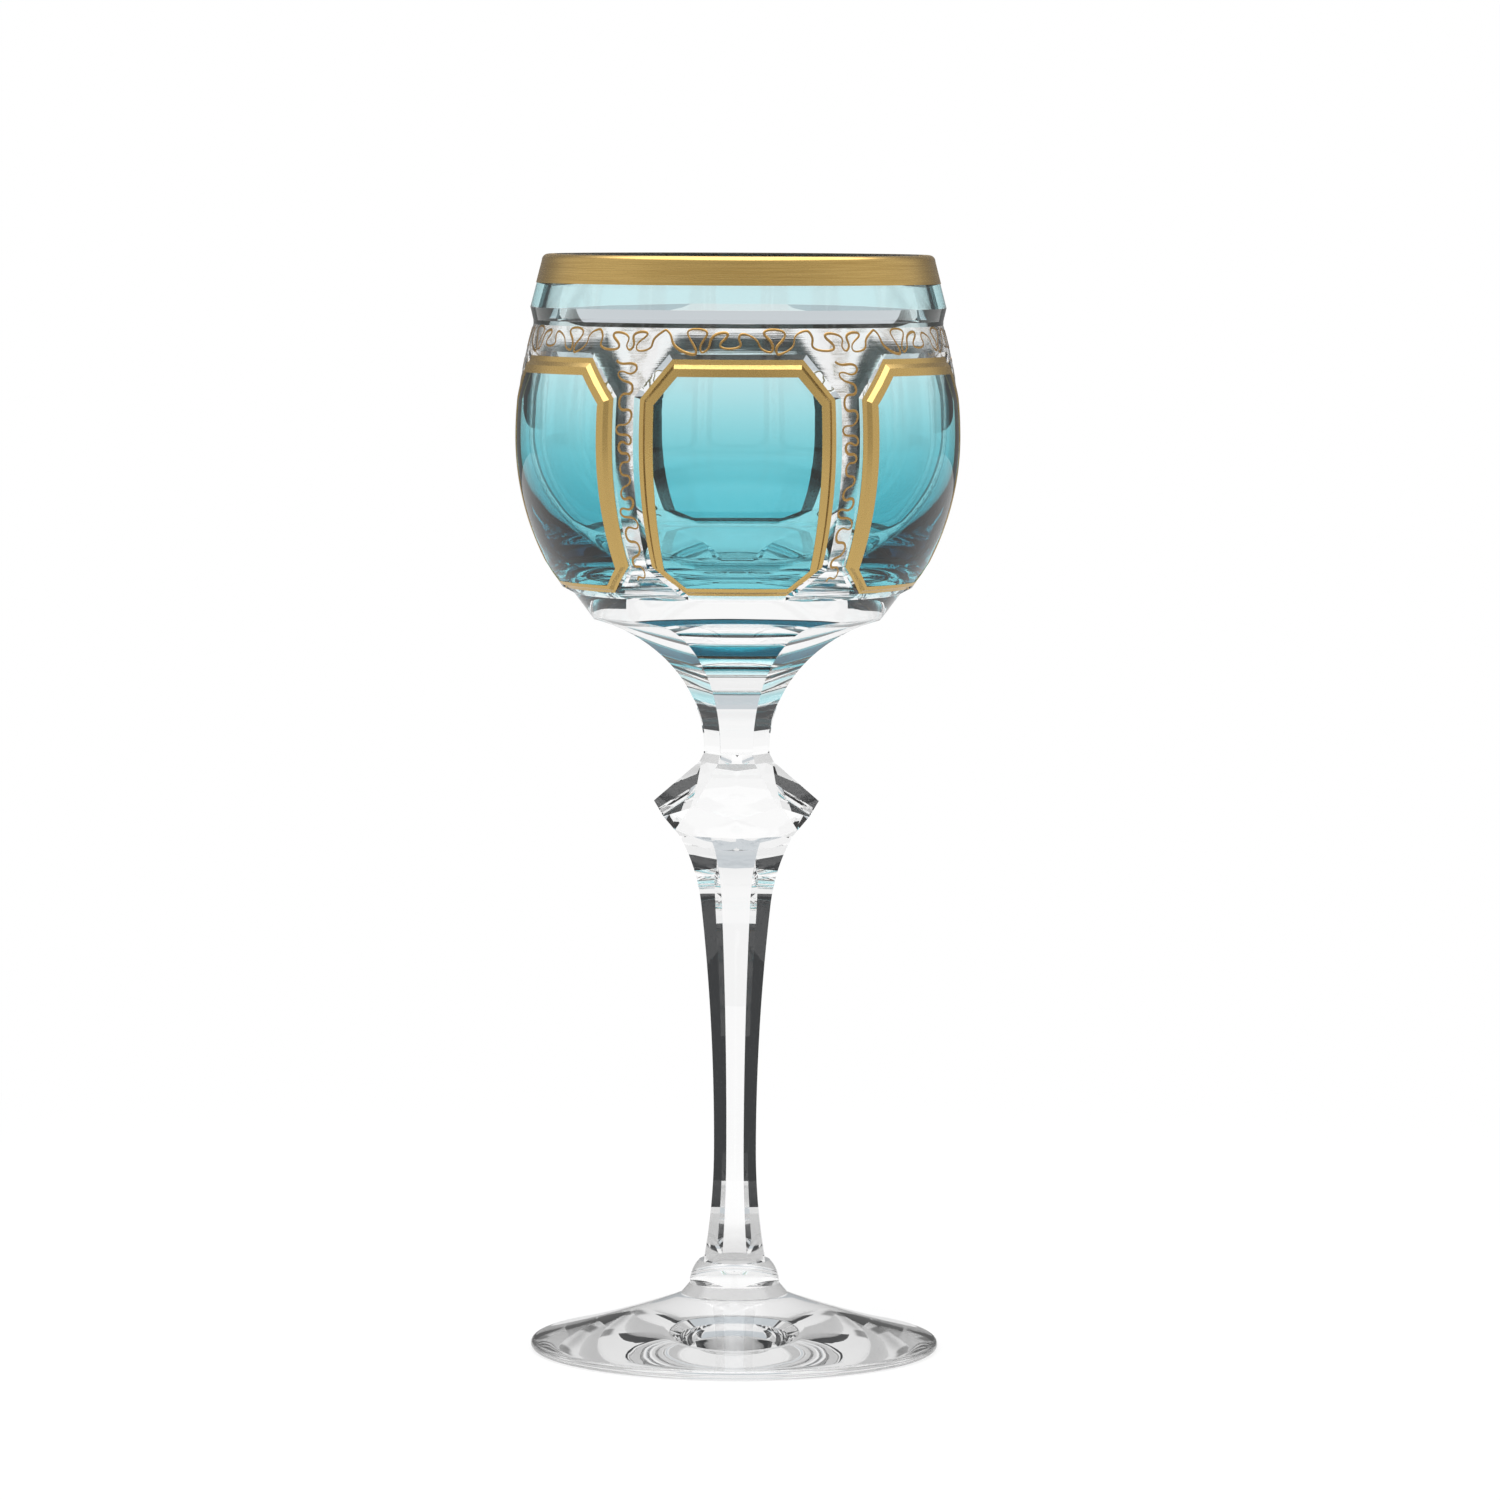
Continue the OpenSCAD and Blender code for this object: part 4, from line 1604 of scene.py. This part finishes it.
@dataclass(frozen=True)
class Flag:
    """Board that stands in the studio and is seen only through the glass. Sizes in metres."""

    degrees: float
    near: float
    bottom: float
    half: float
    height: float
    slope: float = 2.0

    def build(self, name: str, material: bpy.types.Material) -> None:
        """Stands the flag up, leaning away from the glass.

        Args:
            name: Name of the flag.
            material: Its paint.
        """
        turn = math.radians(90 - self.degrees)
        run = self.height / self.slope
        middle = self.near + run / 2
        Bench.clear()
        bpy.ops.mesh.primitive_plane_add(size=1.0)
        flag = bpy.context.object
        flag.name = name
        flag.scale = (math.hypot(run, self.height), 2 * self.half, 1)
        flag.rotation_euler = (0, -math.atan(self.slope), turn)
        flag.location = (middle * math.cos(turn), middle * math.sin(turn), self.bottom + self.height / 2)
        flag.visible_camera = flag.visible_shadow = flag.visible_diffuse = flag.visible_glossy = False
        flag.data.materials.append(material)


@dataclass
class Studio:
    """Floor, light and camera of the photograph. Sizes in metres."""

    distance: float = 1.297
    height: float = 0.2167
    aside: float = 0.0025
    pitch: float = math.radians(4.59)
    lens: float = 167.2
    roll: float = math.radians(0.25)
    floor: float = 3.2
    air: float = 0.1 * MM
    # Glow of the floor as seen in reflections: a painted reflection level
    floor_sheen: float = 0.8
    flag_colour: Colour = (0.012, 0.014, 0.016)
    flags: Tuple[Flag, ...] = (
        *(Flag(a, near=0.044, bottom=1.5 * MM, half=0.017, height=0.18) for a in (114, 246)),
        *(Flag(a, near=0.33, bottom=0.16, half=0.09, height=0.3) for a in (45, 315)),
        *(Flag(a, near=0.044, bottom=1.5 * MM, half=0.014, height=0.135) for a in (150, 210)),
    )
    shade_colour: Colour = (0.56, 0.60, 0.63)
    shades: Tuple[Flag, ...] = tuple(
        Flag(a, near=1.0, bottom=0.45, half=0.6, height=0.5, slope=50.0) for a in (0, 180)
    )
    sky_level: float = 0.88
    sheen_low: float = 0.58
    sheen_high: float = 3.0

    def build(self) -> None:
        """Sets up the studio."""
        self.add_camera()
        self.add_floor()
        self.add_flags("studio_flag", self.flag_colour, self.flags)
        self.add_flags("studio_shade", self.shade_colour, self.shades)
        self.add_world()
        self.add_lamps()
        scene = bpy.context.scene
        scene.view_settings.view_transform = "Standard"
        scene.cycles.max_bounces = 40
        scene.cycles.transmission_bounces = 40
        scene.cycles.glossy_bounces = 12
        scene.cycles.transparent_max_bounces = 48

    def add_camera(self) -> None:
        """Puts the camera where the photograph was taken from."""
        camera = bpy.data.objects.new("camera", bpy.data.cameras.new("camera"))
        bpy.context.scene.collection.objects.link(camera)
        camera.location = (self.aside, -self.distance, self.height)
        camera.rotation_euler = (math.pi / 2 - self.pitch, 0, 0)
        camera.rotation_euler.rotate_axis("Z", self.roll)
        camera.data.lens = self.lens
        camera.data.sensor_width = 36.0
        camera.data.clip_start, camera.data.clip_end = 0.01, 50.0
        bpy.context.scene.camera = camera

    def add_floor(self) -> None:
        """Lays a white floor that keeps a soft shadow near the glass."""
        Bench.clear()
        bpy.ops.mesh.primitive_plane_add(size=self.floor, location=(0, 0, -self.air))
        floor = bpy.context.object
        floor.name = "studio_floor"
        material, nodes = new_material("studio_floor")
        light = nodes.add("ShaderNodeLightPath")
        camera, crossing = light.outputs["Is Camera Ray"], light.outputs["Is Transmission Ray"]
        place = nodes.add("ShaderNodeTexCoord")
        length = nodes.add("ShaderNodeVectorMath", operation="LENGTH")
        nodes.link(place.outputs["Object"], length.inputs[0])
        away = length.outputs["Value"]
        # The glow that stands for white paper fades into lit paint near the foot, where the shadow is
        through = nodes.maths("MAXIMUM", crossing, light.outputs["Is Glossy Ray"])
        seen = nodes.maths("MAXIMUM", camera, through)
        share = nodes.maths("MULTIPLY", seen, nodes.ramp(away, 0.04, 0.4, 0.8, 1.0))
        # It is a little dimmer in reflections, a painted reflection level, and through the glass under the
        # foot, where it carries a painted shadow
        straight = nodes.maths("MAXIMUM", camera, crossing)
        base = nodes.ramp(straight, 0.0, 1.0, self.floor_sheen, 1.0, smooth=False)
        # Painted shadow: through the glass, the floor's glow falls off under the foot
        painted_foot_shadow = nodes.maths("MULTIPLY", nodes.ramp(away, 0.033, 0.09, 0.4, 0.0), crossing)
        glow = nodes.add("ShaderNodeEmission", Color=(1, 1, 1, 1))
        nodes.link(nodes.maths("SUBTRACT", base, painted_foot_shadow), glow.inputs["Strength"])
        paint = nodes.add("ShaderNodeBsdfDiffuse", Color=(0.92, 0.92, 0.92, 1))
        mix = nodes.add("ShaderNodeMixShader")
        for i, source in enumerate((share, paint.outputs[0], glow.outputs[0])):
            nodes.link(source, mix.inputs[i])
        nodes.surface(mix)
        floor.data.materials.append(material)

    def add_flags(self, name: str, colour: Colour, flags: Sequence[Flag]) -> None:
        """Stands flags round the glass, to draw its edges or to shade its neck.

        Args:
            name: Name that the flags and their paint start with.
            colour: Colour of the paint.
            flags: The flags.
        """
        material, nodes = new_material(name)
        nodes.surface(nodes.add("ShaderNodeEmission", Color=(*colour, 1)))
        for i, flag in enumerate(flags):
            flag.build(f"{name}_{i + 1}", material)

    def add_world(self) -> None:
        """Surrounds the glass with soft white light and, seen through it, with dark uprights."""
        world = bpy.data.worlds.new("studio")
        bpy.context.scene.world = world
        world.use_nodes = True
        nodes = Nodes(world.node_tree)
        maths, ramp = nodes.maths, nodes.ramp
        light = nodes.add("ShaderNodeLightPath")
        end = nodes.add("ShaderNodeOutputWorld")
        back = nodes.add("ShaderNodeBackground", Color=(1, 1, 1, 1))
        place = nodes.add("ShaderNodeTexCoord")
        split = nodes.add("ShaderNodeSeparateXYZ")
        nodes.link(place.outputs["Generated"], split.inputs[0])
        ahead, up = split.outputs["Y"], split.outputs["Z"]
        depth, aside = maths("ABSOLUTE", ahead), maths("ABSOLUTE", split.outputs["X"])
        # What rays through the glass meet: a sky that dims upwards and to the sides, and dark uprights
        upright = maths("MULTIPLY", ramp(depth, 0.2, 0.27, 0.0, 1.0), ramp(depth, 0.38, 0.46, 1.0, 0.0))
        dark = maths("MULTIPLY", upright, ramp(maths("ABSOLUTE", up), 0.25, 0.4, 1.0, 0.0))
        dimmed = maths("MULTIPLY", ramp(aside, 0.9, 0.97, 0.0, 0.35), ramp(up, 0.08, 0.25, 0.0, 1.0))
        sky = ramp(up, 0.06, 0.38, 0.95, self.sky_level)
        sky = maths("MULTIPLY", sky, maths("SUBTRACT", 1.0, dimmed))
        through = maths("MULTIPLY", sky, ramp(dark, 0.0, 1.0, 1.0, 0.25))
        # What the gold mirrors: bright overhead, brighter to the sides, dim behind and in front
        sheen = ramp(up, 0.66, 0.8, self.sheen_low, self.sheen_high)
        for share in (ramp(aside, 0.55, 0.95, 1.0, 1.3), ramp(ahead, 0.45, 0.85, 1.0, 0.45),
                      ramp(ahead, -0.97, -0.8, 0.8, 1.0)):
            sheen = maths("MULTIPLY", sheen, share)
        crossing = light.outputs["Is Transmission Ray"]
        mirrored = maths("MULTIPLY", light.outputs["Is Glossy Ray"], maths("SUBTRACT", 1.0, crossing))
        total = maths("MULTIPLY_ADD", light.outputs["Is Diffuse Ray"], 0.6, light.outputs["Is Camera Ray"])
        total = maths("MULTIPLY_ADD", mirrored, sheen, total)
        total = maths("MULTIPLY_ADD", crossing, through, total)
        nodes.link(total, back.inputs["Strength"])
        nodes.link(back.outputs[0], end.inputs["Surface"])

    def add_lamps(self) -> None:
        """Hangs a soft overhead light and one soft light on each side of the camera."""
        for name, place, size, power in (
            ("overhead", (0.0, -0.25, 1.1), 0.8, 9.0),
            ("key", (-0.9, -1.0, 0.9), 0.7, 8.0),
            ("fill", (1.0, -0.9, 0.6), 0.7, 4.0),
        ):
            lamp = bpy.data.objects.new(name, bpy.data.lights.new(name, "AREA"))
            bpy.context.scene.collection.objects.link(lamp)
            lamp.data.energy, lamp.data.size = power, size
            lamp.visible_glossy = lamp.visible_transmission = False
            lamp.location = place
            aim = Vector((0, 0, 0.15)) - Vector(place)
            lamp.rotation_euler = aim.to_track_quat("-Z", "Y").to_euler()


def main() -> None:
    """Builds the glass piece by piece, then the studio."""
    logging.basicConfig(level=logging.INFO, format="%(message)s")
    finishes = Finishes()
    stem = Stem()
    pattern = PanelPattern()
    bowl = Bowl(pattern)
    Foot().build(finishes)
    stem.build(finishes)
    Knop().build(finishes, stem)
    bowl.build(finishes)
    Rim(bowl).build(finishes)
    Panels(pattern).build(finishes)
    Scrollwork(pattern).build(finishes)
    Studio().build()


if __name__ == "__main__":
    main()
